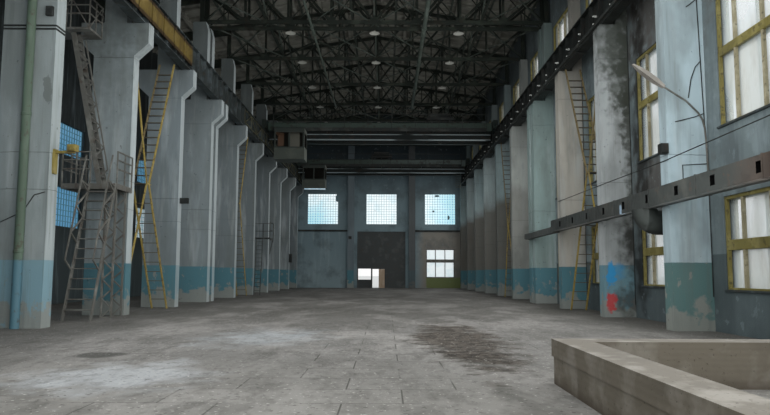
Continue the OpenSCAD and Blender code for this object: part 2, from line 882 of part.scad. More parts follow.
module right_zigzag(k, foot, turn, top, turn_h, props) {
    set_in = 45;
    x0 = right_face + set_in;
    zigzag(x0, x0, line_y(k - 1) + col_t / 2, line_y(k) - foot, line_y(k) - turn, line_y(k) - top,
        turn_h, head_z - 2 * stringer, props);
}

module yellow_ladders() {
    color("gold") {
        left_zigzag(k = 6, foot = 650, turn = 2050, top = 710, turn_h = 2585,
            props = [4500, 1100]);
        right_zigzag(k = 6, foot = 650, turn = 2050, top = 620, turn_h = 2850,
            props = [4450, 1280]);
        left_zigzag(k = 9, foot = 1100, turn = 2500, top = 1500, turn_h = 3075, props = []);
        right_zigzag(k = 9, foot = 1300, turn = 2050, top = 900, turn_h = 2300,
            props = [4200, 1200]);
    }
}

// Lamps with dished shades under the bottom chords
lamp_r = 150;
lamp_h = 90;
module lamps() {
    neck = 28;
    sheet = 6;
    color("white") for (k = [1 : bays - 1], x = [-1, 0, 1])
        translate([x * half_span / 2 + ridge_x, k == joint_line ? line_y(k) + twin / 2 : line_y(k),
            floor_t + post_z - lamp_h - seat]) rotate_extrude()
            polygon([[0, lamp_h / 3], [neck, lamp_h / 3], [lamp_r - sheet, 0], [lamp_r, 0],
                [lamp_r, sheet], [neck + sheet, lamp_h / 2 + sheet], [neck, lamp_h * 0.85],
                [neck / 2, lamp_h], [0, lamp_h]]);
}

// Gate with its wicket
gate_back = 50;
gate_y = inner_y + gate_back;
wicket_x0 = wicket_hinge - wicket_w;
gate_rail = 60;
gate_proud = 12;

// Rails that frame a sheet of the gate on its inner face
module gate_frame(x0, z0, x1, z1) {
    across(gate_y - gate_proud, gate_proud) difference() {
        translate([x0, z0]) square([x1 - x0, z1 - z0]);
        translate([x0 + gate_rail, z0 + gate_rail])
            square([x1 - x0 - 2 * gate_rail, z1 - z0 - 2 * gate_rail]);
    }
}

module gate_left_part() {
    x0 = -gate_w / 2;
    z1 = floor_t + gate_h;
    win_z = floor_t + gate_win_z;
    color("dimgray") union() {
        across(gate_y, gate_t) difference() {
            translate([x0, floor_t]) square([gate_w / 2 + wicket_x0, gate_h]);
            translate([x0 + gate_rail, win_z]) square([gate_win_w, gate_win_h]);
        }
        gate_frame(x0, win_z + gate_win_h, wicket_x0, z1);
        gate_frame(x0, floor_t, wicket_x0, win_z);
    }
}

module gate_right_part() {
    x0 = wicket_hinge + gate_rail;
    color("dimgray") union() {
        block(wicket_hinge, gate_y, floor_t, gate_w / 2, gate_y + gate_t, floor_t + gate_h);
        gate_frame(x0, floor_t, gate_w / 2, floor_t + gate_h / 2 + gate_rail / 2);
        gate_frame(x0, floor_t + gate_h / 2 - gate_rail / 2, gate_w / 2, floor_t + gate_h);
    }
}

module gate_top_part() {
    z0 = floor_t + wicket_h;
    color("dimgray") union() {
        block(wicket_x0, gate_y, z0, wicket_hinge, gate_y + gate_t, floor_t + gate_h);
        gate_frame(wicket_x0, z0 + gate_rail, wicket_hinge, floor_t + gate_h);
    }
}

// The leaf swings into the hall on two knuckles that stand in front of the gate
module wicket_door() {
    play = 5;
    knuckle_r = 10;
    knuckle_h = 70;
    leaf_w = wicket_w - 2 * play;
    leaf_h = wicket_h - 2 * play;
    color("tan") translate([wicket_hinge, gate_y - knuckle_r - seat, floor_t + play])
        rotate([0, 0, wicket_open]) union() {
            translate([-play - leaf_w, -knuckle_r, 0]) cube([leaf_w, leaf_t, leaf_h]);
            for (z = [leaf_h / 6, leaf_h * 5 / 6 - knuckle_h])
                translate([0, 0, z]) cylinder(r = knuckle_r, h = knuckle_h);
        }
}

// Glazing
module gable_glass() {
    color("lightcyan") {
        for (i = [-1 : 1], y = [inner_y + wall_t / 2 - glass_t, -inner_y - wall_t / 2 - glass_t])
            across(y, 2 * glass_t) block_window(i);
        across(inner_y + wall_t / 2 - glass_t / 2, glass_t) side_window();
    }
}

module glass_row(x, z0, h) {
    color("white") along(x - glass_t / 2, glass_t) window_row(z0, h);
}

module right_glass_low() { glass_row(right_in + wall_t / 2, low_z, low_h); }

module right_glass_middle() { glass_row(right_in + wall_t / 2, mid_z, mid_h); }

module right_glass_top() { glass_row(right_in + wall_t / 2, top_z, top_h); }

module aisle_glass() {
    glass_row(left_in - wall_t / 2, aisle_low_z, aisle_low_h);
    glass_row(left_in - wall_t / 2, aisle_high_z, aisle_high_h);
}

// Overhead cranes
far_crane_y = inner_y - far_crane_gap;
near_crane_y = inner_y - near_crane_gap;
bridge_z = rail_top - bridge_drop;
bridge_play = 30;
bridge_end = rail_x - flange_w / 2 - bridge_play;
carriage_lift = 70;
carriage_z = rail_top + carriage_lift;
walkway_end = 200;
girder_top = bridge_z + bridge_h;
bridge_front = bridge_gap / 2 + bridge_w / 2;
walkway_z = girder_top - walkway_drop;
cab_x0 = -bridge_end + cab_gap;
cab_top = walkway_z - fascia - seat;
trolley_rail = 30;

module bridge_outline() {
    notch_z = carriage_z - bridge_z;
    polygon([[-bridge_end, 0], [bridge_end, 0], [bridge_end, notch_z],
        [rail_x - carriage_w / 2, notch_z], [rail_x - carriage_w / 2, bridge_h],
        [-rail_x + carriage_w / 2, bridge_h], [-rail_x + carriage_w / 2, notch_z],
        [-bridge_end, notch_z]]);
}

module crane_girders(y) {
    top_end = rail_x - carriage_w / 2;
    color("dimgray") for (s = [-1, 1]) translate([0, y + s * bridge_gap / 2, 0]) union() {
        across(-bridge_w / 2 + bridge_flange, bridge_w - 2 * bridge_flange)
            translate([0, bridge_z]) bridge_outline();
        block(-bridge_end, -bridge_w / 2, bridge_z, bridge_end, bridge_w / 2,
            bridge_z + bridge_flange);
        block(-top_end, -bridge_w / 2, girder_top - bridge_flange, top_end, bridge_w / 2,
            girder_top);
        block(-top_end, -trolley_rail / 2, girder_top, top_end, trolley_rail / 2,
            girder_top + trolley_rail);
    }
}

module crane_carriages(y) {
    axle = wheel_r + rail_top + seat;
    hub = 45;
    hub_out = 15;
    buffer_l = 60;
    wheel_inset = 40;
    wheel_y = carriage_l / 2 - wheel_r - wheel_inset;
    color("dimgray") for (s = [-1, 1]) union() {
        block(s * rail_x - carriage_w / 2, y - carriage_l / 2, carriage_z,
            s * rail_x + carriage_w / 2, y + carriage_l / 2, carriage_z + carriage_h);
        for (e = [-1, 1]) {
            translate([s * rail_x - rail_w / 2, y + e * wheel_y, axle])
                rotate([0, 90, 0]) cylinder(r = wheel_r, h = rail_w);
            translate([s * rail_x - carriage_w / 2 - hub_out, y + e * wheel_y, axle + hub])
                rotate([0, 90, 0]) cylinder(r = hub, h = carriage_w + 2 * hub_out);
            translate([s * rail_x, y + e * carriage_l / 2, carriage_z + carriage_h / 2])
                rotate([90 * e, 0, 0]) translate([0, 0, -buffer_l]) cylinder(r = hub, h = buffer_l);
        }
    }
}

module crane_walkway(y) {
    y0 = y - bridge_front;
    x1 = bridge_end - walkway_end;
    front = y0 - walkway_w;
    color("darkslategray") union() {
        block(-x1, front, walkway_z - deck_t, x1, y0 - seat, walkway_z);
        block(-x1, front, walkway_z - fascia, x1, front + bar_t, walkway_z + deck_t);
        for (x = [-x1 : 2 * x1 / 8 : x1 - bar_t])
            block(x, front, walkway_z - fascia, x + bar_t, y0 - seat, walkway_z - deck_t);
        railing([-x1, front, walkway_z], [x1, front, walkway_z], railing_h, walkway_rails,
            bay / 3);
    }
}

// Cab of sheet steel under the walkway, open above its sills on three sides
module crane_cab(y) {
    y1 = y - bridge_front - seat;
    y0 = y1 - cab_w;
    z0 = cab_top - cab_h;
    sill = z0 + cab_sill;
    head = sill + cab_win_h;
    wall = 30;
    post = 60;
    mid = cab_x0 + cab_l / 2;
    color("slategray") difference() {
        block(cab_x0, y0, z0, cab_x0 + cab_l, y1, cab_top);
        block(cab_x0 + wall, y0 + wall, z0 + wall, cab_x0 + cab_l - wall, y1 - wall,
            cab_top - wall);
        block(cab_x0 + post, y0 - 1, sill, mid - post / 2, y0 + wall + 1, head);
        block(mid + post / 2, y0 - 1, sill, cab_x0 + cab_l - post, y0 + wall + 1, head);
        block(cab_x0 - 1, y0 + post, sill, cab_x0 + cab_l + 1, y1 - post, head);
    }
}

// Trolley: frame on four wheels, drum between bearings, drive and the raised hook block
module crane_trolley(y, x) {
    l = 1100;
    frame_h = 90;
    beam = 80;
    half = bridge_gap / 2 + 0.75 * beam;
    wheel = 70;
    drum_r = 150;
    drum_x = l / 2 - 2 * beam;
    drum_flange = 16;
    bearing = 40;
    gear_h = 190;
    z = girder_top + trolley_rail + 1.6 * wheel;
    drum_z = z + frame_h + drum_r - drum_flange;
    color("darkslategray") translate([x, y, 0]) union() {
        difference() {
            block(-l / 2, -half, z, l / 2, half, z + frame_h);
            for (s = [-1, 1]) translate([s * l / 4 - s * beam / 4, 0, z + frame_h / 2])
                cube([l / 2 - 1.5 * beam, 2 * (half - beam), 2 * frame_h], center = true);
        }
        for (sx = [-1, 1], sy = [-1, 1])
            translate([sx * drum_x, sy * bridge_gap / 2 + trolley_rail / 2,
                girder_top + trolley_rail + wheel + seat]) rotate([90, 0, 0]) {
                cylinder(r = wheel, h = trolley_rail);
                translate([0, 0, -beam / 4]) cylinder(r = wheel / 3, h = trolley_rail + beam / 2);
            }
        for (s = [-1, 1]) {
            translate([s * (l / 2 - beam) - bearing / 2, -beam, z + frame_h / 2])
                cube([bearing, 2 * beam, drum_z + beam / 2 - z - frame_h / 2]);
            translate([s * drum_x - drum_flange / 2, 0, drum_z]) rotate([0, 90, 0])
                cylinder(r = drum_r + drum_flange, h = drum_flange);
        }
        translate([-l / 2 + beam, 0, drum_z]) rotate([0, 90, 0])
            cylinder(r = drum_r / 4, h = l - 2 * beam);
        translate([-drum_x, 0, drum_z]) rotate([0, 90, 0]) cylinder(r = drum_r, h = 2 * drum_x);
        block(drum_x, drum_r, z + frame_h / 2, l / 2, half - beam / 8, z + frame_h + gear_h);
        translate([-l / 4, half - beam, z + frame_h + 0.9 * beam]) rotate([0, 90, 0])
            cylinder(r = beam, h = l * 0.75 - 2 * beam);
        hook_block(bridge_z + bridge_h / 2, drum_z - 0.95 * drum_r);
    }
}

// Hook block hung on two ropes, with its sheave between two cheeks
module hook_block(top, rope_top) {
    rope_r = 9;
    sheave_r = 85;
    cheek = 20;
    cheek_h = 210;
    gap = 60;
    shank_r = 22;
    shank_l = 90;
    hook_r = 48;
    hook_t = 20;
    for (s = [-1, 1]) {
        translate([s * (sheave_r - rope_r), 0, top - cheek_h / 2])
            cylinder(r = rope_r, h = rope_top - top + cheek_h / 2);
        translate([-sheave_r, s * (gap + cheek) / 2 - cheek / 2, top - cheek_h])
            cube([2 * sheave_r, cheek, cheek_h]);
    }
    translate([0, gap / 2 + 1, top - cheek_h / 2]) rotate([90, 0, 0])
        cylinder(r = sheave_r, h = gap + 2);
    block(-sheave_r / 2, -gap / 2 - 1, top - cheek_h, sheave_r / 2, gap / 2 + 1,
        top - cheek_h + 2 * cheek);
    translate([0, 0, top - cheek_h - shank_l]) {
        cylinder(r = shank_r, h = shank_l + 1);
        translate([0, 0, -hook_r + hook_t / 2]) rotate([90, 0, 0]) rotate(80)
            rotate_extrude(angle = 290) translate([hook_r, 0]) circle(hook_t);
    }
}

module near_crane_girders() { crane_girders(near_crane_y); }
module near_crane_carriages() { crane_carriages(near_crane_y); }
module near_crane_walkway() { crane_walkway(near_crane_y); }
module near_crane_cab() { crane_cab(near_crane_y); }
module near_crane_trolley() { crane_trolley(near_crane_y, near_trolley_x); }

module far_crane_girders() { crane_girders(far_crane_y); }
module far_crane_carriages() { crane_carriages(far_crane_y); }
module far_crane_walkway() { crane_walkway(far_crane_y); }
module far_crane_cab() {
    crane_cab(far_crane_y);
    cage_w = 260;
    rungs = 7;
    drop = 750;
    x = bridge_end - cage_w - walkway_end;
    color("slategray") across(far_crane_y - bridge_gap / 2, bar_t)
        translate([x, bridge_z - seat - drop]) {
            square([bar_t, drop]);
            translate([cage_w - bar_t, 0]) square([bar_t, drop]);
            for (i = [0 : rungs]) translate([0, i * (drop - bar_t) / rungs]) square([cage_w, bar_t]);
        }
}
module far_crane_trolley() { crane_trolley(far_crane_y, far_trolley_x); }

floor_slab();
pit_rim();
far_wall_left();
far_wall_right();
far_wall_over_gate();
near_wall();
right_wall();
left_wall();
gable_pilasters();
gable_ledges();
roof_left_slope();
roof_right_slope();
trusses_near();
trusses_far();
aisle_beams();
roof_ties();
left_columns();
right_columns();
left_crane_girder();
right_crane_girder();
girder_panels();
girder_lattice();
conductor_rail();
air_duct();
duct_elbow();
downpipe();
stair_platforms();
platform_tower();
grey_stairs();
yellow_ladders();
lamps();
gate_left_part();
gate_right_part();
gate_top_part();
gable_glass();
right_glass_low();
right_glass_middle();
right_glass_top();
aisle_glass();
wicket_door();
near_crane_girders();
near_crane_carriages();
near_crane_walkway();
near_crane_cab();
near_crane_trolley();
far_crane_girders();
far_crane_carriages();
far_crane_walkway();
far_crane_cab();
far_crane_trolley();
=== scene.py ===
import json
import math

import bpy
from mathutils import Euler, Matrix, Vector


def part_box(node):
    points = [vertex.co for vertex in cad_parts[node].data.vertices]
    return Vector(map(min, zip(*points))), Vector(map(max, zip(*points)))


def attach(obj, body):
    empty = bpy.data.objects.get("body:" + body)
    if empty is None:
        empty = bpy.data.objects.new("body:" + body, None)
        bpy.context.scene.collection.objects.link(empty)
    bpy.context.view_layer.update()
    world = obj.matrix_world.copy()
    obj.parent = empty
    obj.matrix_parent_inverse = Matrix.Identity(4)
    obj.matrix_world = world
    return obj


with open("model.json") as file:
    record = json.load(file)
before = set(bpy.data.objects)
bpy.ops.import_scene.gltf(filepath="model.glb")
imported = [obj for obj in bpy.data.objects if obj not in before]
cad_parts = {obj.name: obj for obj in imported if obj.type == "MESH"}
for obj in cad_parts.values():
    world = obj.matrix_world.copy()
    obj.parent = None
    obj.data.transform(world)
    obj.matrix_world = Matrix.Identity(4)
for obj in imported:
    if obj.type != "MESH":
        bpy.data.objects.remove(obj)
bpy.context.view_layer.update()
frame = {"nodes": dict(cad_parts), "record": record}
nodes = frame["nodes"]
print("frame loaded")


def linear(hexColour):  # sRGB hex to linear RGBA
    parts = [int(hexColour[i:i + 2], 16) / 255 for i in (1, 3, 5)]
    return [c / 12.92 if c <= 0.04045 else ((c + 0.055) / 1.055) ** 2.4 for c in parts] + [1]


# Camera: inside the hall near the first gable, where the picture was taken
cameraSet = {
    "place": (0.2695, -17.19, 0.862),
    "lens": 31.55,
    "pitch": 0.0974,
    "yaw": 0.0021,
    "roll": 0.0039,
    "sensor": 36,
    "clip": (0.05, 500),
}


def addCamera(s):
    bpy.ops.object.camera_add(location=s["place"])
    camera = bpy.context.object
    aim = Euler((math.pi / 2 + s["pitch"], 0, s["yaw"])).to_matrix()
    camera.rotation_euler = (aim @ Matrix.Rotation(s["roll"], 3, "Z")).to_euler()
    camera.data.lens = s["lens"]
    camera.data.sensor_width = s["sensor"]
    camera.data.clip_start, camera.data.clip_end = s["clip"]
    bpy.context.scene.camera = camera


addCamera(cameraSet)
print("camera placed")

# Lamps: soft light under the trusses, from the windows and down the hall, a pale sky outside
lightSet = {
    "lamps": {
        "ceiling_near": {"place": (-0.1, -10.5, 7.68), "turn": (0, 0, 0), "size": (8.2, 17), "watts": 520},
        "ceiling_far": {"place": (-0.1, 8.5, 7.68), "turn": (0, 0, 0), "size": (8.2, 21), "watts": 170},
        "windows_near": {"place": (4.2, -10.5, 3.5), "turn": (0, 90, 0), "size": (5, 17), "watts": 640},
        "windows_far": {"place": (4.2, 8.5, 3.5), "turn": (0, 90, 0), "size": (5, 21), "watts": 330},
        "right_side": {"place": (-3.9, -9, 3.5), "turn": (0, -90, 0), "size": (5, 19), "watts": 260},
        "aisle": {"place": (-7.6, 0, 4.0), "turn": (0, -90, 0), "size": (5, 37), "watts": 120},
        "first": {"place": (0, -19.3, 3.6), "turn": (90, 0, 0), "size": (8, 6.5), "watts": 500},
        "second": {"place": (0.6, -10.5, 3.9), "turn": (90, 0, 0), "size": (6.4, 5), "watts": 200},
        "third": {"place": (0.6, -1.5, 3.9), "turn": (90, 0, 0), "size": (6.4, 5), "watts": 110},
        "fourth": {"place": (0.6, 9.0, 3.5), "turn": (90, 0, 0), "size": (5.4, 4), "watts": 60},
    },
    "sunStrength": 1.2,
    "sunTurn": (38, 0, 35),
    "sunAngle": 20,
    "sky": "#e8edf0",
    "skyStrength": 0.75,
}


def addAreaLamp(name, s):
    bpy.ops.object.light_add(type="AREA", location=s["place"],
                             rotation=[math.radians(a) for a in s["turn"]])
    lamp = bpy.context.object
    lamp.name = name + "_lamp"
    lamp.data.shape = "RECTANGLE"
    lamp.data.size, lamp.data.size_y = s["size"]
    lamp.data.energy = s["watts"]
    lamp.visible_camera = False
    lamp.visible_glossy = False


def addLights(s):
    for name, settings in s["lamps"].items():
        addAreaLamp(name, settings)
    bpy.ops.object.light_add(type="SUN", rotation=[math.radians(a) for a in s["sunTurn"]])
    sun = bpy.context.object
    sun.data.energy = s["sunStrength"]
    sun.data.angle = math.radians(s["sunAngle"])


addLights(lightSet)


def addNode(tree, kind, settings, links):
    node = tree.nodes.new("ShaderNode" + kind)
    for name, value in settings.items():
        if isinstance(name, int) or name in node.inputs:
            node.inputs[name].default_value = value
        else:
            setattr(node, name, value)
    for name, source in links.items():
        tree.links.new(source, node.inputs[name])
    return node


def makeWorld(s):
    world = bpy.data.worlds.new("sky")
    world.use_nodes = True
    tree = world.node_tree
    tree.nodes.clear()
    path = addNode(tree, "LightPath", {}, {})
    seen = addNode(tree, "Math", {"operation": "MAXIMUM"},
                   {0: path.outputs["Is Camera Ray"], 1: path.outputs["Is Glossy Ray"]})
    seen = addNode(tree, "Math", {"operation": "MAXIMUM"},
                   {0: seen.outputs[0], 1: path.outputs["Is Transmission Ray"]})
    lit = addNode(tree, "Background", {"Color": linear(s["sky"]), "Strength": s["skyStrength"]}, {})
    shown = addNode(tree, "Background", {"Color": (1, 1, 1, 1), "Strength": 1.0}, {})
    both = addNode(tree, "MixShader", {}, {0: seen.outputs[0], 1: lit.outputs[0], 2: shown.outputs[0]})
    addNode(tree, "OutputWorld", {}, {"Surface": both.outputs[0]})
    bpy.context.scene.world = world


makeWorld(lightSet)
bpy.context.scene.view_settings.view_transform = "Standard"
print("lights and sky set")

# Plan of the hall in metres: its bays and roof, and the faces that the frame gives
hall = {"bay": 3.0, "bays": 13, "truss": 0.06, "rise": 0.75, "panels": 8, "rib": 0.15,
        "expansionLine": 7, "expansionGap": 0.25}
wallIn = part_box("right_wall")[0].x
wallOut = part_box("right_wall")[1].x
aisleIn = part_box("left_wall")[1].x
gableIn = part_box("right_wall")[1].y
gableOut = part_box("near_wall")[0].y
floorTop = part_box("pit_rim")[0].z


def lineY(k):  # column lines, counted from the near gable
    return (k - hall["bays"] / 2) * hall["bay"]


# Patterns for the finishes, all on Object coordinates in metres. A mask is 1 where a coat lies.
def objectPlace(tree, stretch=(1, 1, 1), shift=(0, 0, 0)):
    place = addNode(tree, "TexCoord", {}, {})
    mapping = addNode(tree, "Mapping", {"Scale": stretch, "Location": shift},
                      {"Vector": place.outputs["Object"]})
    return mapping.outputs["Vector"]


def ramp(tree, value, low, high):  # 0 at low, 1 at high, whichever is larger
    node = addNode(tree, "MapRange", {"From Min": low, "From Max": high}, {"Value": value})
    return node.outputs[0]


# Noise at a size in mm, cut between low and high; sand and grit are drawn coarser than real, to show
def blotches(tree, sizeMm, low, high, stretch=(1, 1, 1), shift=(0, 0, 0), detail=4):
    noise = addNode(tree, "TexNoise", {"Scale": 1000 / sizeMm, "Detail": detail, "Roughness": 0.6},
                    {"Vector": objectPlace(tree, stretch, shift)})
    return ramp(tree, noise.outputs[0], low, high)


def axisValue(tree, axis, sizeMm=300, waver=0.0):  # a coordinate, with a ragged edge where it wavers
    apart = addNode(tree, "SeparateXYZ", {}, {0: objectPlace(tree)})
    value = apart.outputs["XYZ".index(axis)]
    if waver == 0:
        return value
    noise = addNode(tree, "TexNoise", {"Scale": 1000 / sizeMm, "Detail": 5}, {"Vector": objectPlace(tree)})
    moved = addNode(tree, "Math", {"operation": "MULTIPLY_ADD", 1: waver}, {0: noise.outputs[0], 2: value})
    return addNode(tree, "Math", {"operation": "SUBTRACT", 1: waver / 2}, {0: moved.outputs[0]}).outputs[0]


def pastLine(tree, axis, start, end, sizeMm=300, waver=0.0):  # 0 before start, 1 past end
    return ramp(tree, axisValue(tree, axis, sizeMm, waver), start, end)


def inSpot(tree, centre, radii, ragged=1.2, soft=0.6, sizeMm=250):  # 1 inside a ragged oval
    stretch = [1 / r for r in radii]
    shift = [-c / r for c, r in zip(centre, radii)]
    far = addNode(tree, "VectorMath", {"operation": "LENGTH"}, {0: objectPlace(tree, stretch, shift)})
    noise = addNode(tree, "TexNoise", {"Scale": 1000 / sizeMm, "Detail": 5}, {"Vector": objectPlace(tree)})
    edge = addNode(tree, "Math", {"operation": "MULTIPLY_ADD", 1: ragged * 2},
                   {0: noise.outputs[0], 2: far.outputs["Value"]})
    return ramp(tree, edge.outputs[0], 1 + ragged + soft / 2, 1 + ragged - soft / 2)


def joined(tree, operation, *masks):  # masks put together, one after another
    whole = masks[0]
    for mask in masks[1:]:
        whole = addNode(tree, "Math", {"operation": operation}, {0: whole, 1: mask}).outputs[0]
    return whole


def allOf(tree, *masks):  # only where they all lie
    return joined(tree, "MULTIPLY", *masks)


def anyOf(tree, *masks):  # wherever one of them lies
    return joined(tree, "MAXIMUM", *masks)


def share(tree, mask, amount):  # a mask, or a height, times a number
    return addNode(tree, "Math", {"operation": "MULTIPLY", 1: amount}, {0: mask}).outputs[0]


def less(tree, mask, other, amount):  # the mask, weaker where the other one lies
    return joined(tree, "SUBTRACT", mask, share(tree, other, amount))


def facing(tree, axis, low, high):  # by the direction in which the surface looks
    geometry = addNode(tree, "NewGeometry", {}, {})
    apart = addNode(tree, "SeparateXYZ", {}, {0: geometry.outputs["True Normal"]})
    return ramp(tree, apart.outputs["XYZ".index(axis)], low, high)


def waves(tree, axis, lengthMm, distortion):  # Blender's own are a tenth of pi long at scale 1
    wave = addNode(tree, "TexWave", {
        "Scale": math.pi * 100 / lengthMm, "Distortion": distortion, "bands_direction": axis},
        {"Vector": objectPlace(tree)})
    return wave.outputs["Fac"]


def bayNumber(tree):  # number of the nearest column line
    y = addNode(tree, "Math", {"operation": "MULTIPLY_ADD", 1: 1 / hall["bay"], 2: hall["bays"] / 2 + 0.5},
                {0: axisValue(tree, "Y")})
    return addNode(tree, "Math", {"operation": "FLOOR"}, {0: y.outputs[0]}).outputs[0]


def byBay(tree):  # one random value for each column, the right row counted on from 32
    side = addNode(tree, "Math", {"operation": "GREATER_THAN", 1: 0.0}, {0: axisValue(tree, "X")})
    number = addNode(tree, "Math", {"operation": "MULTIPLY_ADD", 1: 32.0},
                     {0: side.outputs[0], 2: bayNumber(tree)})
    chance = addNode(tree, "TexWhiteNoise", {"noise_dimensions": "1D"}, {"W": number.outputs[0]})
    return chance.outputs["Value"]


def oddBay(tree):  # 1 at every second column of the hall
    return addNode(tree, "Math", {"operation": "MODULO", 1: 2.0}, {0: bayNumber(tree)}).outputs[0]


def paintLayers(tree, base, layers):  # coats over a base colour: a tint, where it lies, how much of it
    colour = addNode(tree, "RGB", {}, {})
    colour.outputs[0].default_value = linear(base)
    whole = colour.outputs[0]
    for tint, mask, amount in layers:
        if amount < 1:
            mask = share(tree, mask, amount)
        mixed = addNode(tree, "MixRGB", {"Color2": linear(tint)}, {"Fac": mask, "Color1": whole})
        whole = mixed.outputs[0]
    return whole


def coatSurface(tree, colour, roughness, height=None, bumpMm=2, extra=None):  # relief in mm
    links = {"Base Color": colour}
    if height is not None:
        bump = addNode(tree, "Bump", {"Strength": 0.9, "Distance": bumpMm / 1000}, {"Height": height})
        links["Normal"] = bump.outputs[0]
    settings = {"Roughness": roughness}
    settings.update(extra or {})
    shader = addNode(tree, "BsdfPrincipled", settings, links)
    addNode(tree, "OutputMaterial", {}, {"Surface": shader.outputs[0]})
    return shader


def newFinish(name):
    material = bpy.data.materials.new(name)
    material.use_nodes = True
    material.node_tree.nodes.clear()
    return material


# Limewash over concrete: chalky, matt, with a blue oil-painted dado that peels near the floor
columnSet = {
    "wash": "#848e8f", "pale": "#adb6b7", "grime": "#5b615e", "soot": "#30332f", "blueGrey": "#6b767b",
    "dado": "#48707a", "bare": "#7f817b", "dadoTop": 1.03, "peelTop": 0.42, "teal": "#4f6b68",
    "rightBlue": "#a4b7be", "rightGreen": "#7d918f", "rightBrown": "#a9a69d", "rightGrey": "#a4a8a9",
    "farBrown": "#5d564d", "farBlue": "#92a6aa", "faded": "#76939d", "farLeftShade": "#545b5d",
    "paintedWindowLight": "#bcc6c8", "pilaster": "#566268", "pilasterBrown": "#464747", "roughness": 0.85,
    # where the tints begin and are whole, along the hall, across it and up the columns
    "firstY": (-6.6, -6.8), "secondY": (-3.7, -3.9), "farY": (3.4, 5.5), "farLeftShadeY": (-2.0, 7.0),
    "streaksY": (3.0, -4.0), "leftX": (-2.6, -2.7), "rightX": (1, 2), "brownZ": (3.85, 3.35),
    "sootZ": (4.4, 6.8), "pilasterX": (2.6, 2.5), "paintedWindowLightY": (-3.0, -2.9), "crackHalf": 0.006,
    "spots": (  # colour, share, centre, radii, soft edge
        ("#262a24", 0.85, (4.78, -4.64, 5.32), (0.16, 0.5, 0.13), 0.5),
        ("#262a24", 0.85, (4.76, -4.64, 4.76), (0.18, 0.5, 0.16), 0.5),
        ("#262a24", 0.8, (4.8, -4.64, 4.12), (0.18, 0.5, 0.2), 0.6),
        ("#3c4139", 0.6, (4.75, -4.64, 4.55), (0.24, 0.5, 0.95), 1.0),
        ("#2d2e2a", 0.9, (4.85, -4.64, 1.5), (0.2, 0.5, 0.5), 1.4),
        ("#35332e", 0.7, (4.78, -4.64, 0.35), (0.25, 0.5, 0.25), 1.0),
        ("#2a86bb", 0.9, (4.43, -4.64, 0.84), (0.1, 0.5, 0.2), 0.3),
        ("#2f8cbf", 0.5, (4.56, -4.64, 0.92), (0.14, 0.5, 0.13), 0.8),
        ("#ad3a3c", 0.9, (4.42, -4.64, 0.36), (0.08, 0.5, 0.16), 0.4),
        ("#5d6361", 0.8, (-4.64, -7.64, 3.48), (0.06, 0.08, 0.2), 0.15),
        ("#454a47", 0.3, (-5.1, -4.64, 4.6), (0.5, 0.3, 0.7), 1.6),
        ("#3b403d", 0.45, (-4.9, -4.64, 5.5), (0.6, 0.3, 0.35), 1.6),
        ("#34372f", 0.8, (4.87, -4.64, 4.3), (0.13, 0.5, 2.0), 0.8),
        ("#454a44", 0.8, (4.66, -4.64, 5.4), (0.42, 0.5, 0.8), 1.2),
    ),
    "cracks": (2.04, 2.57, 4.95),
}


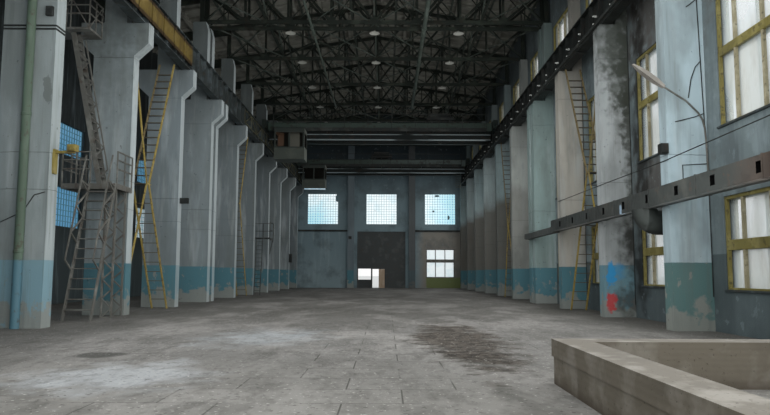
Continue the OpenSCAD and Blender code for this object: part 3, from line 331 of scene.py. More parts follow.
def limewashedColumn(s):
    material = newFinish("limewashed_concrete")
    tree = material.node_tree
    wide = blotches(tree, 480, 0.48, 0.7, stretch=(1, 1, 0.16), shift=(3, 1, 0))
    fine = blotches(tree, 110, 0.52, 0.66, stretch=(1, 1, 0.06), shift=(0, 7, 2))
    light = blotches(tree, 260, 0.5, 0.7, stretch=(1, 1, 0.13), shift=(5, 5, 0))
    stains = blotches(tree, 800, 0.5, 0.66, stretch=(1, 1, 0.5), shift=(0, 7, 2))
    chips = blotches(tree, 80, 0.67, 0.7, shift=(0, 3, 9))
    right = pastLine(tree, "X", *s["rightX"])
    near = pastLine(tree, "Y", *s["firstY"])
    first = allOf(tree, right, near)
    firstLeft = allOf(tree, near, pastLine(tree, "X", -1, -2))
    second = allOf(tree, right, pastLine(tree, "Y", *s["secondY"]))
    far = allOf(tree, right, pastLine(tree, "Y", *s["farY"]))
    streaky = anyOf(tree, firstLeft, share(tree, pastLine(tree, "Y", *s["streaksY"]), 0.6),
                    share(tree, far, 0.5))
    low = pastLine(tree, "Z", *s["brownZ"], 500, 0.9)
    dado = pastLine(tree, "Z", s["dadoTop"] + 0.004, s["dadoTop"] - 0.004, 60, 0.01)
    peel = anyOf(tree, pastLine(tree, "Z", s["peelTop"], s["peelTop"] - 0.1, 200, 1.1),
                 blotches(tree, 160, 0.62, 0.66, stretch=(1, 1, 0.6), shift=(2, 2, 2)))
    upper = pastLine(tree, "Z", *s["sootZ"], 900, 1.2)
    left = pastLine(tree, "X", *s["leftX"])
    # the left columns down the hall, for painted shade where the light falls off
    farLeftShade = allOf(tree, left, pastLine(tree, "Y", *s["farLeftShadeY"]))
    # left columns' sides turned to the windows, for painted window light
    windowLitSide = allOf(tree, left, facing(tree, "X", 0.35, 0.6))
    pilasters = allOf(tree, *[pastLine(tree, "X", *[side * x for x in s["pilasterX"]]) for side in (-1, 1)])
    brown = allOf(tree, pilasters, pastLine(tree, "X", 0, 0.1))
    layers = [
        (s["blueGrey"], ramp(tree, byBay(tree), 0.35, 0.75), 0.7),
        (s["rightBrown"], right, 1),
        (s["rightGreen"], allOf(tree, right, oddBay(tree)), 1),
        (s["rightGrey"], second, 0.9),
        (s["rightBlue"], first, 1),
        (s["farBlue"], far, 0.8),
        # painted shade on the left columns down the hall
        (s["farLeftShade"], farLeftShade, 0.6),
        (s["pale"], light, 0.5),
        (s["grime"], stains, 0.4),
        (s["grime"], firstLeft, 0.22),
        (s["farBrown"], allOf(tree, far, low), 0.85),
        (s["grime"], wide, 0.45),
        (s["soot"], less(tree, upper, allOf(tree, upper, first), 0.8), 0.6),
        (s["soot"], allOf(tree, upper, light), 0.3),
        (s["pilaster"], pilasters, 0.75),
        # painted window light on the left columns' sides towards the windows, weaker on the nearest
        (s["paintedWindowLight"], less(tree, windowLitSide, near, 0.6), 0.55),
        (s["dado"], dado, 1),
        (s["faded"], allOf(tree, dado, firstLeft), 0.8),
        (s["faded"], allOf(tree, dado, second), 0.5),
        (s["teal"], allOf(tree, dado, first), 0.9),
        (s["bare"], allOf(tree, dado, peel), 0.85),
        # painted window light over the dado on the far left columns' window sides
        (s["paintedWindowLight"], allOf(tree, windowLitSide, dado, pastLine(tree, "Y", *s["paintedWindowLightY"])), 0.4),
        (s["pilasterBrown"], brown, 0.75),
        (s["grime"], allOf(tree, fine, streaky), 0.45),
        (s["soot"], chips, 0.5),
    ]
    for tint, amount, centre, radii, soft in s["spots"]:
        layers.append((tint, inSpot(tree, centre, radii, 1.4, soft, 140), amount))
    z = axisValue(tree, "Z", 600, 0.05)
    half = s["crackHalf"]
    grooves = anyOf(tree, *[
        allOf(tree, ramp(tree, z, level - half, level), ramp(tree, z, level + half, level))
        for level in s["cracks"]])
    layers.append((s["soot"], grooves, 0.7))
    grain = blotches(tree, 14, 0.3, 0.7, detail=3)
    plaster = joined(tree, "ADD", share(tree, grain, 0.4), chips, share(tree, grooves, -2.0))
    coatSurface(tree, paintLayers(tree, s["wash"], layers), s["roughness"], plaster, 3)
    return material


# Limewashed plaster: darker than the columns, sooty, patched; weathered render on the outside
plasterSet = {
    "wash": "#667274", "pale": "#808e92", "grime": "#41474a", "gable": "#6d8086", "gableTop": "#35434a",
    "gablePale": "#8b9c9f", "gableBrown": "#797369", "aisle": "#191f20", "aisleLow": "#3f494b",
    "olive": "#626d42", "dado": "#3d4749", "soot": "#1d1d1b", "brown": "#4b4540", "outside": "#8f8d84",
    "outsideStain": "#67665f", "plinth": "#5c5a55", "roughness": 0.9,
    # where the tints begin and are whole, along the hall, across it and up the walls
    "gableY": (19.6, 19.7), "aisleX": (-7.5, -7.9), "dadoZ": (1.15, 1.14), "gableLowZ": (3.2, 3.1),
    "gablePaleZ": (2.4, 0.6), "gableSootZ": (4.8, 6.6), "aisleLowZ": (2.3, 1.5), "oliveZ": (0.66, 0.64),
    "sootZ": (5.2, 8.2), "plinthZ": (0.5, 0.49), "hallX": (-7.5, -7.4), "gableRightX": (1.8, 2.3),
    "gableLeftX": (-1.9, -2.0), "oliveX": (2.4, 2.5),
    "darkBandSpots": (((4.9, -5.15, 3.6), (0.5, 0.34, 2.2)), ((4.9, -5.0, 1.2), (0.5, 0.3, 0.8))),
    "brownSpots": (((4.9, -6.0, 2.4), (0.5, 1.3, 0.6)), ((4.9, -6.1, 5.5), (0.5, 1.6, 1.3))),
}


def limewashedPlaster(s):
    material = newFinish("limewashed_plaster")
    tree = material.node_tree
    pale = blotches(tree, 700, 0.5, 0.62)
    streaks = blotches(tree, 260, 0.5, 0.7, stretch=(1, 1, 0.12), shift=(2, 5, 0))
    light = blotches(tree, 200, 0.54, 0.66, stretch=(1, 1, 0.1), shift=(1, 2, 0))
    stains = blotches(tree, 1000, 0.5, 0.66, shift=(6, 0, 3))
    peeled = blotches(tree, 200, 0.62, 0.66, shift=(0, 8, 1))
    gable = anyOf(tree, *[pastLine(tree, "Y", *[side * y for y in s["gableY"]]) for side in (1, -1)])
    aisle = pastLine(tree, "X", *s["aisleX"])
    inHall = pastLine(tree, "X", *s["hallX"])
    low = pastLine(tree, "Z", *s["dadoZ"], 60, 0.01)
    sides = allOf(tree, low, less(tree, inHall, gable, 1.0))
    gableLow = allOf(tree, gable, pastLine(tree, "Z", *s["gableLowZ"]))
    rightHalf = allOf(tree, gableLow, pastLine(tree, "X", *s["gableRightX"], 500, 0.5))
    leftHalf = allOf(tree, gableLow, pastLine(tree, "X", *s["gableLeftX"]))
    olive = allOf(tree, gable, pastLine(tree, "Z", *s["oliveZ"], 60, 0.02),
                  pastLine(tree, "X", *s["oliveX"]))
    darkBand = anyOf(tree, *[inSpot(tree, *spot, 1.2, 0.8, 300) for spot in s["darkBandSpots"]])
    outside = anyOf(tree, pastLine(tree, "X", wallOut - 0.02, wallOut - 0.01),
                    pastLine(tree, "X", aisleIn - 0.17, aisleIn - 0.18),
                    pastLine(tree, "Y", -gableOut - 0.02, -gableOut - 0.01),
                    pastLine(tree, "Y", gableOut + 0.02, gableOut + 0.01))
    layers = [
        (s["pale"], pale, 0.5),
        (s["gable"], gable, 0.9),
        (s["gablePale"], allOf(tree, leftHalf, light), 0.4),
        (s["gablePale"], allOf(tree, leftHalf, pastLine(tree, "Z", *s["gablePaleZ"])), 0.4),
        (s["gableBrown"], rightHalf, 0.85),
        (s["gableTop"], allOf(tree, gable, pastLine(tree, "Z", *s["gableSootZ"], 900, 0.8)), 0.9),
        # the aisle's wall near black, a little lighter low down: painted shade in the aisle
        (s["aisle"], aisle, 0.9),
        (s["aisleLow"], allOf(tree, aisle, pastLine(tree, "Z", *s["aisleLowZ"], 500, 0.6)), 0.85),
        (s["grime"], stains, 0.5),
        (s["grime"], less(tree, streaks, gable, 0.6), 0.5),
        (s["pale"], less(tree, light, gable, 0.7), 0.3),
        (s["dado"], sides, 0.75),
        (s["olive"], olive, 0.9),
        *[(s["brown"], inSpot(tree, *spot, 1.4, 1.0, 300), 0.75) for spot in s["brownSpots"]],
        # a dark band down the wall just before the right column at y -4.5, with a patch below it
        (s["soot"], darkBand, 0.85),
        (s["soot"], pastLine(tree, "Z", *s["sootZ"], 900, 1.0), 0.6),
        (s["pale"], allOf(tree, peeled, inHall), 0.25),
        (s["outside"], outside, 1),
        (s["outsideStain"], allOf(tree, outside, streaks), 0.25),
        (s["outsideStain"], allOf(tree, outside, stains), 0.45),
        (s["plinth"], allOf(tree, outside, pastLine(tree, "Z", *s["plinthZ"])), 1),
    ]
    grain = blotches(tree, 18, 0.3, 0.7, detail=3)
    height = joined(tree, "ADD", share(tree, grain, 0.4), share(tree, peeled, -1.0))
    coatSurface(tree, paintLayers(tree, s["wash"], layers), s["roughness"], height, 4)
    return material


# Concrete paving: large worn slabs under dust, broken at the right, white with lime in places
floorSet = {
    "slab": "#747370", "pale": "#9a9894", "dark": "#4e4d48", "near": "#87857f", "joint": "#403f3a",
    "lime": "#a7abad", "far": "#575651", "limeBlue": "#969ea2", "oval": "#454541", "broken": "#4c443b",
    "speck": "#c9c7c1", "crumb": "#35322e", "roughness": 0.9, "slabMm": (750, 500),
    "nearY": (-9.5, -14.5), "farY": (-9.5, -4.0), "rightX": (2.9, 4.4), "leftX": (-3.0, -4.6),
    "brokenSpot": ((1.15, -9.0, 0.07), (0.45, 2.4, 2)), "limeSpot": ((-1.8, -12.0, 0.07), (0.5, 0.7, 2)),
    "blueSpot": ((-1.2, -8.7, 0.07), (0.55, 0.9, 2)), "ovalSpot": ((-2.47, -10.63, 0.07), (0.24, 0.23, 2)),
}


def wornPaving(s):
    material = newFinish("worn_paving")
    tree = material.node_tree
    bricks = addNode(tree, "TexBrick", {
        "Scale": 1.0, "Mortar Size": 0.006, "Mortar Smooth": 0.3, "Brick Width": s["slabMm"][0] / 1000,
        "Row Height": s["slabMm"][1] / 1000, "Color1": (0, 0, 0, 1), "Color2": (0.35, 0.35, 0.35, 1),
        "Mortar": (1, 1, 1, 1)}, {"Vector": objectPlace(tree)})
    bare = blotches(tree, 1300, 0.44, 0.56, stretch=(1, 0.6, 1), shift=(7, 1, 0))
    joints = allOf(tree, bricks.outputs["Fac"], bare)
    tone = allOf(tree, bricks.outputs["Color"], bare)
    dust = blotches(tree, 1100, 0.46, 0.6, stretch=(1, 0.45, 1))
    dark = blotches(tree, 600, 0.53, 0.66, stretch=(1, 0.35, 1), shift=(4, 4, 0))
    patches = blotches(tree, 260, 0.53, 0.6, stretch=(1, 0.5, 1), shift=(2, 8, 0), detail=6)
    specks = blotches(tree, 34, 0.66, 0.7, detail=2)
    crumbs = blotches(tree, 46, 0.64, 0.69, shift=(9, 2, 0), detail=2)
    grit = blotches(tree, 90, 0.5, 0.7, stretch=(1, 0.5, 1), shift=(1, 6, 0), detail=8)
    broken = inSpot(tree, *s["brokenSpot"], 1.2, 0.6, 300)
    edges = anyOf(tree, *[pastLine(tree, "X", *s[side], 900, 0.8) for side in ("rightX", "leftX")])
    clods = allOf(tree, blotches(tree, 110, 0.5, 0.55, shift=(1, 1, 1)), broken)
    layers = [
        # paler at the near end and darker down the hall: painted light falling off along the hall
        (s["near"], pastLine(tree, "Y", *s["nearY"], 900, 1.5), 0.7),
        (s["far"], pastLine(tree, "Y", *s["farY"], 900, 1.5), 0.75),
        (s["pale"], dust, 0.4),
        (s["dark"], dark, 0.55),
        (s["dark"], patches, 0.35),
        (s["dark"], edges, 0.6),
        (s["joint"], joints, 0.6),
        (s["dark"], tone, 0.6),
        (s["broken"], broken, 0.85),
        (s["crumb"], clods, 0.8),
        (s["lime"], inSpot(tree, *s["limeSpot"], 1.5, 1.0, 350), 0.8),
        (s["limeBlue"], inSpot(tree, *s["blueSpot"], 1.5, 1.2, 350), 0.5),
        (s["oval"], inSpot(tree, *s["ovalSpot"], 0.4, 0.3), 0.8),
        (s["dark"], grit, 0.45),
        (s["speck"], specks, 0.6),
        (s["crumb"], crumbs, 0.6),
    ]
    grain = blotches(tree, 25, 0.3, 0.7, detail=6)
    height = joined(tree, "ADD", share(tree, grain, 0.5), share(tree, joints, -0.8),
                    share(tree, clods, 2.5), share(tree, patches, -0.5))
    coatSurface(tree, paintLayers(tree, s["slab"], layers), s["roughness"], height, 6)
    return material


# Cast concrete: board-marked sides, paler on its top faces and in worn patches, earth along the foot
castSet = {"paste": "#625c51", "pale": "#99958d", "earth": "#3f372e", "damp": "#4c473e", "roughness": 0.88,
           "boardMm": 37.7, "earthZ": (0.16, 0.08)}


def castConcrete(s):
    material = newFinish("cast_concrete")
    tree = material.node_tree
    worn = blotches(tree, 300, 0.5, 0.66, shift=(1, 0, 2))
    damp = blotches(tree, 500, 0.5, 0.7, stretch=(1, 0.5, 1))
    boards = waves(tree, "Z", s["boardMm"], 0.4)
    pits = blotches(tree, 22, 0.66, 0.7, detail=2)
    top = facing(tree, "Z", 0.5, 0.9)
    layers = [
        (s["damp"], damp, 0.6),
        (s["pale"], top, 0.35),
        (s["pale"], allOf(tree, worn, top), 0.7),
        (s["pale"], worn, 0.3),
        (s["earth"], pastLine(tree, "Z", *s["earthZ"], 150, 0.1), 0.7),
        (s["earth"], pits, 0.5),
    ]
    height = joined(tree, "ADD", share(tree, boards, 0.15), share(tree, pits, -0.8))
    coatSurface(tree, paintLayers(tree, s["paste"], layers), s["roughness"], height, 4)
    return material


# Ribbed concrete slabs black with soot underneath, and bitumen felt with grit on top
roofSet = {"soot": "#787870", "pale": "#9a9a92", "black": "#4a4b46", "felt": "#4b4c4a",
           "feltPale": "#6a6a66", "feltMm": 314.2, "roughness": 0.95}


def sootySlabs(s):
    material = newFinish("sooty_roof_slabs")
    tree = material.node_tree
    stains = blotches(tree, 700, 0.5, 0.7)
    pale = blotches(tree, 350, 0.55, 0.7, shift=(4, 1, 0))
    top = facing(tree, "Z", 0.4, 0.6)
    seams = allOf(tree, ramp(tree, waves(tree, "Y", s["feltMm"], 0), 0.97, 1.0), top)
    layers = [
        (s["black"], stains, 0.7),
        (s["pale"], pale, 0.6),
        (s["felt"], top, 1),
        (s["feltPale"], allOf(tree, top, pale), 0.5),
        (s["black"], seams, 0.6),
    ]
    grit = blotches(tree, 12, 0.4, 0.6, detail=2)
    height = joined(tree, "ADD", grit, seams)
    coatSurface(tree, paintLayers(tree, s["soot"], layers), s["roughness"], height, 2)
    return material


# Painted structural steel: one oil coat gone matt, worn through to rust, under dust or soot
steelSets = {
    "truss_steel": {"paint": "#1c211d", "worn": "#30372f", "rust": "#2a2119", "dust": "#3f423a",
                    "rustShare": 0.5, "dustShare": 0.2, "roughness": 0.75},
    "yellow_steel": {"paint": "#7c7037", "worn": "#8f8350", "rust": "#4a3826", "dust": "#55524a",
                     "rustShare": 0.6, "dustShare": 0.4, "roughness": 0.6},
    "pale_bracing": {"paint": "#363d38", "worn": "#525a53", "rust": "#33291f", "dust": "#555850",
                     "rustShare": 0.5, "dustShare": 0.3, "roughness": 0.75},
    "left_runway": {"paint": "#2f3535", "worn": "#4d5a60", "rust": "#3a3024", "dust": "#5c5b52",
                    "rustShare": 0.5, "dustShare": 0.35, "roughness": 0.7},
    "right_runway": {"paint": "#1a1d1c", "worn": "#242827", "rust": "#241d18", "dust": "#3f403b",
                     "rustShare": 0.4, "dustShare": 0.3, "roughness": 0.6},
    "dark_steel": {"paint": "#232625", "worn": "#353a38", "rust": "#3a2c22", "dust": "#5a5b55",
                   "rustShare": 0.4, "dustShare": 0.35, "roughness": 0.6},
    "grey_steel": {"paint": "#5a5a55", "worn": "#7b7d78", "rust": "#45362b", "dust": "#7a786f",
                   "rustShare": 0.6, "dustShare": 0.4, "roughness": 0.7},
    "platform_steel": {"paint": "#363a38", "worn": "#565c59", "rust": "#3a2d24", "dust": "#5c5c56",
                       "rustShare": 0.5, "dustShare": 0.3, "roughness": 0.7},
    "arm_hood": {"paint": "#625f59", "worn": "#7f7c75", "rust": "#5b5146", "dust": "#5d5a54",
                 "rustShare": 0.4, "dustShare": 0.4, "roughness": 0.5},
    "hung_pipe": {"paint": "#3f4842", "worn": "#56605a", "rust": "#3a3026", "dust": "#5c5e56",
                  "rustShare": 0.4, "dustShare": 0.3, "roughness": 0.6},
    "gate_steel": {"paint": "#3f4343", "worn": "#4f5554", "rust": "#4a3f37", "dust": "#5a5c59",
                   "rustShare": 0.35, "dustShare": 0.3, "roughness": 0.65},
    "crane_green": {"paint": "#202724", "worn": "#35403a", "rust": "#33281f", "dust": "#52554d",
                    "rustShare": 0.4, "dustShare": 0.4, "roughness": 0.6},
    "olive_paint": {"paint": "#454533", "worn": "#6a6647", "rust": "#3d3022", "dust": "#55554c",
                    "rustShare": 0.6, "dustShare": 0.3, "roughness": 0.65},
    "tan_leaf": {"paint": "#b09c86", "worn": "#cbbba8", "rust": "#6b4a38", "dust": "#9d9488",
                 "rustShare": 0.3, "dustShare": 0.3, "roughness": 0.6},
}


def paintedSteel(name, s):
    material = newFinish(name)
    tree = material.node_tree
    worn = blotches(tree, 350, 0.52, 0.64)
    rust = blotches(tree, 160, 0.56, 0.66, shift=(3, 3, 1), detail=6)
    runs = blotches(tree, 120, 0.58, 0.75, stretch=(1, 1, 0.15), shift=(7, 0, 0))
    top = facing(tree, "Z", 0.6, 0.95)
    layers = [
        (s["worn"], worn, 0.6),
        (s["rust"], rust, s["rustShare"]),
        (s["rust"], runs, s["rustShare"] * 0.6),
        (s["dust"], anyOf(tree, top, share(tree, worn, 0.4)), s["dustShare"]),
    ]
    scale = joined(tree, "ADD", share(tree, rust, 0.8), blotches(tree, 8, 0.3, 0.7, detail=2))
    coatSurface(tree, paintLayers(tree, s["paint"], layers), s["roughness"], scale, 1)
    return material


# Yellow enamel: faded and chipped to rust, with sooty brown borders and streaks on the panels
yellowSet = {"enamel": "#69592a", "faded": "#7b6c40", "brown": "#3a2e1f", "soot": "#211c13",
             "border": (0.085, 0.06), "roughness": 0.5}


def yellowPanels(s):
    material = newFinish("yellow_enamel")
    tree = material.node_tree
    low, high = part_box("girder_panels")
    inner, outer = s["border"]
    borders = anyOf(tree, pastLine(tree, "Z", low.z + inner, low.z + outer, 80, 0.03),
                    pastLine(tree, "Z", high.z - inner, high.z - outer, 80, 0.03))
    chips = blotches(tree, 60, 0.6, 0.66, shift=(2, 2, 0))
    streaks = blotches(tree, 90, 0.5, 0.7, stretch=(1, 1, 0.15))
    layers = [
        (s["faded"], blotches(tree, 250, 0.5, 0.62), 0.6),
        (s["brown"], streaks, 0.7),
        (s["brown"], borders, 1),
        (s["soot"], chips, 0.7),
    ]
    coatSurface(tree, paintLayers(tree, s["enamel"], layers), s["roughness"], chips, 1)
    return material


# Ladder steel: stringers and struts in yellow enamel, the treads and the upper left stringer darkened with
# painted shade
ladderSet = {"enamel": "#8b7a3c", "faded": "#a4945a", "tread": "#47433a", "rust": "#4a3826",
             "shadedStringer": "#6b614a", "bar": 0.024, "width": 0.35, "soft": 0.001, "shadedStringerZ": (2.5, 3.0),
             "roughness": 0.6}


def ladderEnamel(s):
    material = newFinish("ladder_enamel")
    tree = material.node_tree
    low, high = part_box("yellow_ladders")
    x = axisValue(tree, "X")
    treads = []
    for edge in (low.x, high.x - s["width"]):
        start, end = edge + s["bar"], edge + s["width"] - s["bar"]
        treads.append(allOf(tree, ramp(tree, x, start - s["soft"], start + s["soft"]),
                            ramp(tree, x, end + s["soft"], end - s["soft"])))
    outer = anyOf(tree, ramp(tree, x, low.x + 0.1, low.x + 0.09), ramp(tree, x, 0, 1))
    rust = blotches(tree, 90, 0.54, 0.62, shift=(0, 3, 3))
    upper = pastLine(tree, "Z", *s["shadedStringerZ"], 500, 0.6)
    layers = [
        (s["faded"], blotches(tree, 200, 0.48, 0.6), 0.6),
        # painted shade on the upper part of the left stringer
        (s["shadedStringer"], allOf(tree, upper, outer), 0.8),
        # painted shade on the treads
        (s["tread"], anyOf(tree, *treads), 0.95),
        (s["rust"], rust, 0.7),
    ]
    coatSurface(tree, paintLayers(tree, s["enamel"], layers), s["roughness"], rust, 1)
    return material


# Galvanised duct sheet under old grey paint: dusty, brown with rust nearest the gable
ductSet = {"paint": "#454947", "pale": "#5e5f5a", "rust": "#5d4c42", "stain": "#2c2e2d", "blue": "#8fa5b8",
           "slotShade": "#080808", "collar": 0.008, "lip": 0.003, "roughness": 0.6,
           # the slots, painted shade within: their depth, sill and head, and the ends of their row
           "slotDepth": 0.083, "slotZ": (1.895, 2.045), "slotY": (0.2, -1.51),
           "rustY": (-9.6, -10.6), "stainY": (-8.6, -6.8),
           "blueSpot": ((4.1, -6.19, 1.9), (0.1, 0.05, 0.1))}


def ductSheet(s):
    material = newFinish("painted_duct_sheet")
    tree = material.node_tree
    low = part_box("air_duct")[0]
    brown = pastLine(tree, "Y", *s["rustY"], 300, 0.8)
    stains = blotches(tree, 300, 0.5, 0.66, stretch=(1, 0.5, 1))
    face = low.x + s["collar"]
    back, (sill, head), (first, last) = face + s["slotDepth"], s["slotZ"], s["slotY"]
    shadedInside = allOf(tree, pastLine(tree, "X", face + s["lip"], face + 2 * s["lip"]),
                   pastLine(tree, "X", back, back - 0.001),
                   pastLine(tree, "Z", sill, sill + 0.005), pastLine(tree, "Z", head, head - 0.005),
                   pastLine(tree, "Y", low.y + first, low.y + first + 0.01),
                   pastLine(tree, "Y", last, last - 0.01))
    layers = [
        (s["pale"], blotches(tree, 400, 0.5, 0.65, shift=(0, 2, 0)), 0.6),
        (s["rust"], brown, 0.8),
        (s["stain"], stains, 0.6),
        (s["stain"], pastLine(tree, "Y", *s["stainY"], 300, 0.6), 0.4),
        (s["rust"], blotches(tree, 120, 0.6, 0.68, shift=(4, 0, 2)), 0.6),
        (s["blue"], inSpot(tree, *s["blueSpot"], 0.6, 0.3, 60), 1),
        # painted shade inside the slots
        (s["slotShade"], shadedInside, 1),
    ]
    dents = blotches(tree, 350, 0.3, 0.7, detail=2)
    coatSurface(tree, paintLayers(tree, s["paint"], layers), s["roughness"], dents, 12)
    return material


# Elbow sheet: sooty, with painted light in greenish grey where it faces the near end of the hall, and
# painted shade on its side towards the wall
elbowSet = {"paint": "#252827", "pale": "#3f4542", "stain": "#1c1d1c", "wallShadeX": (4.25, 4.45),
            "roughness": 0.65}


def elbowSheet(s):
    material = newFinish("sooty_elbow_sheet")
    tree = material.node_tree
    layers = [
        # painted light on the faces turned to the near end of the hall
        (s["pale"], facing(tree, "Y", 0.1, -0.7), 0.7),
        (s["stain"], blotches(tree, 220, 0.5, 0.66), 0.7),
        # painted shade on the side towards the wall
        (s["stain"], pastLine(tree, "X", *s["wallShadeX"], 200, 0.1), 0.8),
    ]
    dents = blotches(tree, 300, 0.3, 0.7)
    coatSurface(tree, paintLayers(tree, s["paint"], layers), s["roughness"], dents, 8)
    return material


# Crane bridges: dark green oil paint, with painted reflections along the flanges and the drive shaft on the
# near faces, and painted light on part of the far bridge's upper band
bridgeSet = {"paint": "#171c1b", "band": "#3c4a43", "lit": "#5d6966", "paintedReflection": "#8f9b9d",
             "rust": "#2b231c", "flange": 6.11, "line": 6.29, "lineWidth": 0.018, "bandLow": 6.42,
             "fronts": (9.45, 18.185), "between": 14.0, "litX": (-1.0, 2.5), "roughness": 0.55}


def bridgeEnamel(s):
    material = newFinish("bridge_enamel")
    tree = material.node_tree
    z = axisValue(tree, "Z")
    line = allOf(tree, ramp(tree, z, s["line"] - s["lineWidth"], s["line"] - s["lineWidth"] / 2),
                 ramp(tree, z, s["line"] + s["lineWidth"], s["line"] + s["lineWidth"] / 2))
    flange = ramp(tree, z, s["flange"], s["flange"] - 0.004)
    # patches that break up the painted reflections
    worn = blotches(tree, 700, 0.36, 0.5, stretch=(0.4, 1, 1), shift=(3, 0, 0))
    farBridge = pastLine(tree, "Y", s["between"], s["between"] + 0.1)
    front = anyOf(tree, pastLine(tree, "Y", s["fronts"][0], s["fronts"][0] - 0.01),
                  allOf(tree, farBridge, pastLine(tree, "Y", s["fronts"][1], s["fronts"][1] - 0.01)))
    band = ramp(tree, z, s["bandLow"], s["bandLow"] + 0.05)
    layers = [
        (s["band"], band, 0.9),
        # painted light on part of the far bridge's upper band
        (s["lit"], allOf(tree, band, farBridge, pastLine(tree, "X", *s["litX"])), 0.9),
        (s["rust"], blotches(tree, 200, 0.54, 0.64), 0.6),
        # painted reflections along a line and the flanges of the near faces
        (s["paintedReflection"], allOf(tree, line, worn, front), 0.9),
        (s["paintedReflection"], allOf(tree, flange, worn, front), 0.8),
    ]
    chips = blotches(tree, 60, 0.5, 0.7)
    coatSurface(tree, paintLayers(tree, s["paint"], layers), s["roughness"], chips, 1)
    return material


# Cast pipe: green oil paint, brushed blue along the dado, rust round the joints
pipeSet = {"green": "#4b5b4d", "blue": "#4a6d79", "pale": "#5d6f60", "rust": "#44372b", "roughness": 0.6}


def pipeEnamel(s):
    material = newFinish("pipe_enamel")
    tree = material.node_tree
    blue = pastLine(tree, "Z", columnSet["dadoTop"] + 0.01, columnSet["dadoTop"] - 0.01)
    rust = blotches(tree, 110, 0.58, 0.66)
    layers = [
        (s["pale"], blotches(tree, 400, 0.5, 0.6, stretch=(1, 1, 0.2)), 0.6),
        (s["blue"], blue, 1),
        (s["rust"], rust, 0.6),
    ]
    coatSurface(tree, paintLayers(tree, s["green"], layers), s["roughness"], rust, 1)
    return material


# Crane cabs: grey-green oil paint, dark above the sill, painted window light on the faces turned to the
# windows, painted shade within, boarded in the near one
cabSet = {"paint": "#3f453f", "worn": "#4e534b", "upper": "#2b322f", "rust": "#3b3026", "pale": "#8a8f87",
          "shadedInside": "#14130f", "board": "#6b5240", "backWall": "#6f6f65", "wall": 0.012, "apart": 8.735,
          "upperZ": (5.57, 5.6), "boardX": (-3.74, -3.78), "boardZ": (5.8, 5.84),
          "backLeftX": (-3.13, -3.15), "backRightX": (-3.52, -3.5), "roughness": 0.55}


def cabEnamel(s):
    material = newFinish("cab_enamel")
    tree = material.node_tree
    worn = blotches(tree, 350, 0.5, 0.64)
    rust = blotches(tree, 130, 0.57, 0.67, shift=(3, 3, 1), detail=6)
    low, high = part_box("near_crane_cab")
    rooms = []
    for shift in (0, s["apart"]):
        slabs = []
        for axis, start, end, moved in zip("XYZ", low, high, (0, shift, 0)):
            start += s["wall"] + moved
            end += moved - s["wall"]
            slabs.append(allOf(tree, pastLine(tree, axis, start, start + 0.002),
                               pastLine(tree, axis, end, end - 0.002)))
        rooms.append(allOf(tree, *slabs))
    within = anyOf(tree, *rooms)
    nearRoom = allOf(tree, within, pastLine(tree, "Y", high.y + 0.1, high.y))
    layers = [
        (s["worn"], worn, 0.6),
        (s["upper"], pastLine(tree, "Z", *s["upperZ"]), 0.9),
        (s["rust"], rust, 0.5),
        # painted window light on the faces turned to the windows
        (s["pale"], facing(tree, "X", 0.5, 0.8), 0.5),
        # painted shade inside the cabs
        (s["shadedInside"], within, 1),
        (s["board"], allOf(tree, nearRoom, pastLine(tree, "X", *s["boardX"]),
                           pastLine(tree, "Z", *s["boardZ"])), 0.8),
        (s["backWall"], allOf(tree, nearRoom, pastLine(tree, "X", *s["backRightX"]),
                              pastLine(tree, "X", *s["backLeftX"])), 0.8),
    ]
    coatSurface(tree, paintLayers(tree, s["paint"], layers), s["roughness"], rust, 1)
    return material


# White stove enamel: glossy, greyed by dust on top
lampSet = {"enamel": "#9a9b94", "dust": "#55534c", "roughness": 0.35}


def lampEnamel(s):
    material = newFinish("white_enamel")
    tree = material.node_tree
    top = facing(tree, "Z", 0.1, 0.8)
    spots = blotches(tree, 60, 0.6, 0.7)
    layers = [
        (s["dust"], top, 0.8),
        (s["dust"], spots, 0.5),
    ]
    coatSurface(tree, paintLayers(tree, s["enamel"], layers), s["roughness"], spots, 0.5)
    return material


# Pressed glass blocks: milky, their inner faces given a painted glow for the daylight through them, a few
# broken
blockSets = {
    "gable": {"glass": "#ecf9fc", "edge": "#a5dbe9", "dark": "#39464a", "white": "#f4fbff",
              "clear": 0.45, "tinted": 0.45, "glow": 0.78, "roughness": 0.35},
    "aisle": {"glass": "#7fb0cd", "edge": "#5c97bd", "dark": "#1b3542", "white": "#f4fbff",
              "clear": 0.88, "tinted": 0.1, "glow": 0.4, "roughness": 0.35},
}
glassPlaces = {
    # where the tints, the whitewash in the aisle and the painted glow begin and are whole
    "leftX": (-2.2, -3.4), "leftZ": (5.1, 4.0), "rightX": (2.2, 3.8), "highZ": (3.4, 3.5),
    "aisleX": (-6.5, -6.6), "whiteY": (1.4, 1.5), "whiteZ": (3.45, 3.4), "gableY": (19.4, 19.5),
    "lowGlow": 0.5, "whiteLess": 0.5, "ribMm": 9.425,
    "broken": (  # holes in the far gable's glass: centre, radii, raggedness
        ((-2.43, 19.7, 5.0), (0.1, 0.4, 0.24), 0.6),
        ((3.05, 19.7, 5.12), (0.13, 0.4, 0.06), 0.2),
        ((2.86, 19.7, 4.27), (0.06, 0.4, 0.06), 0.2),
        ((3.69, 19.7, 3.93), (0.06, 0.4, 0.13), 0.2),
    ),
}


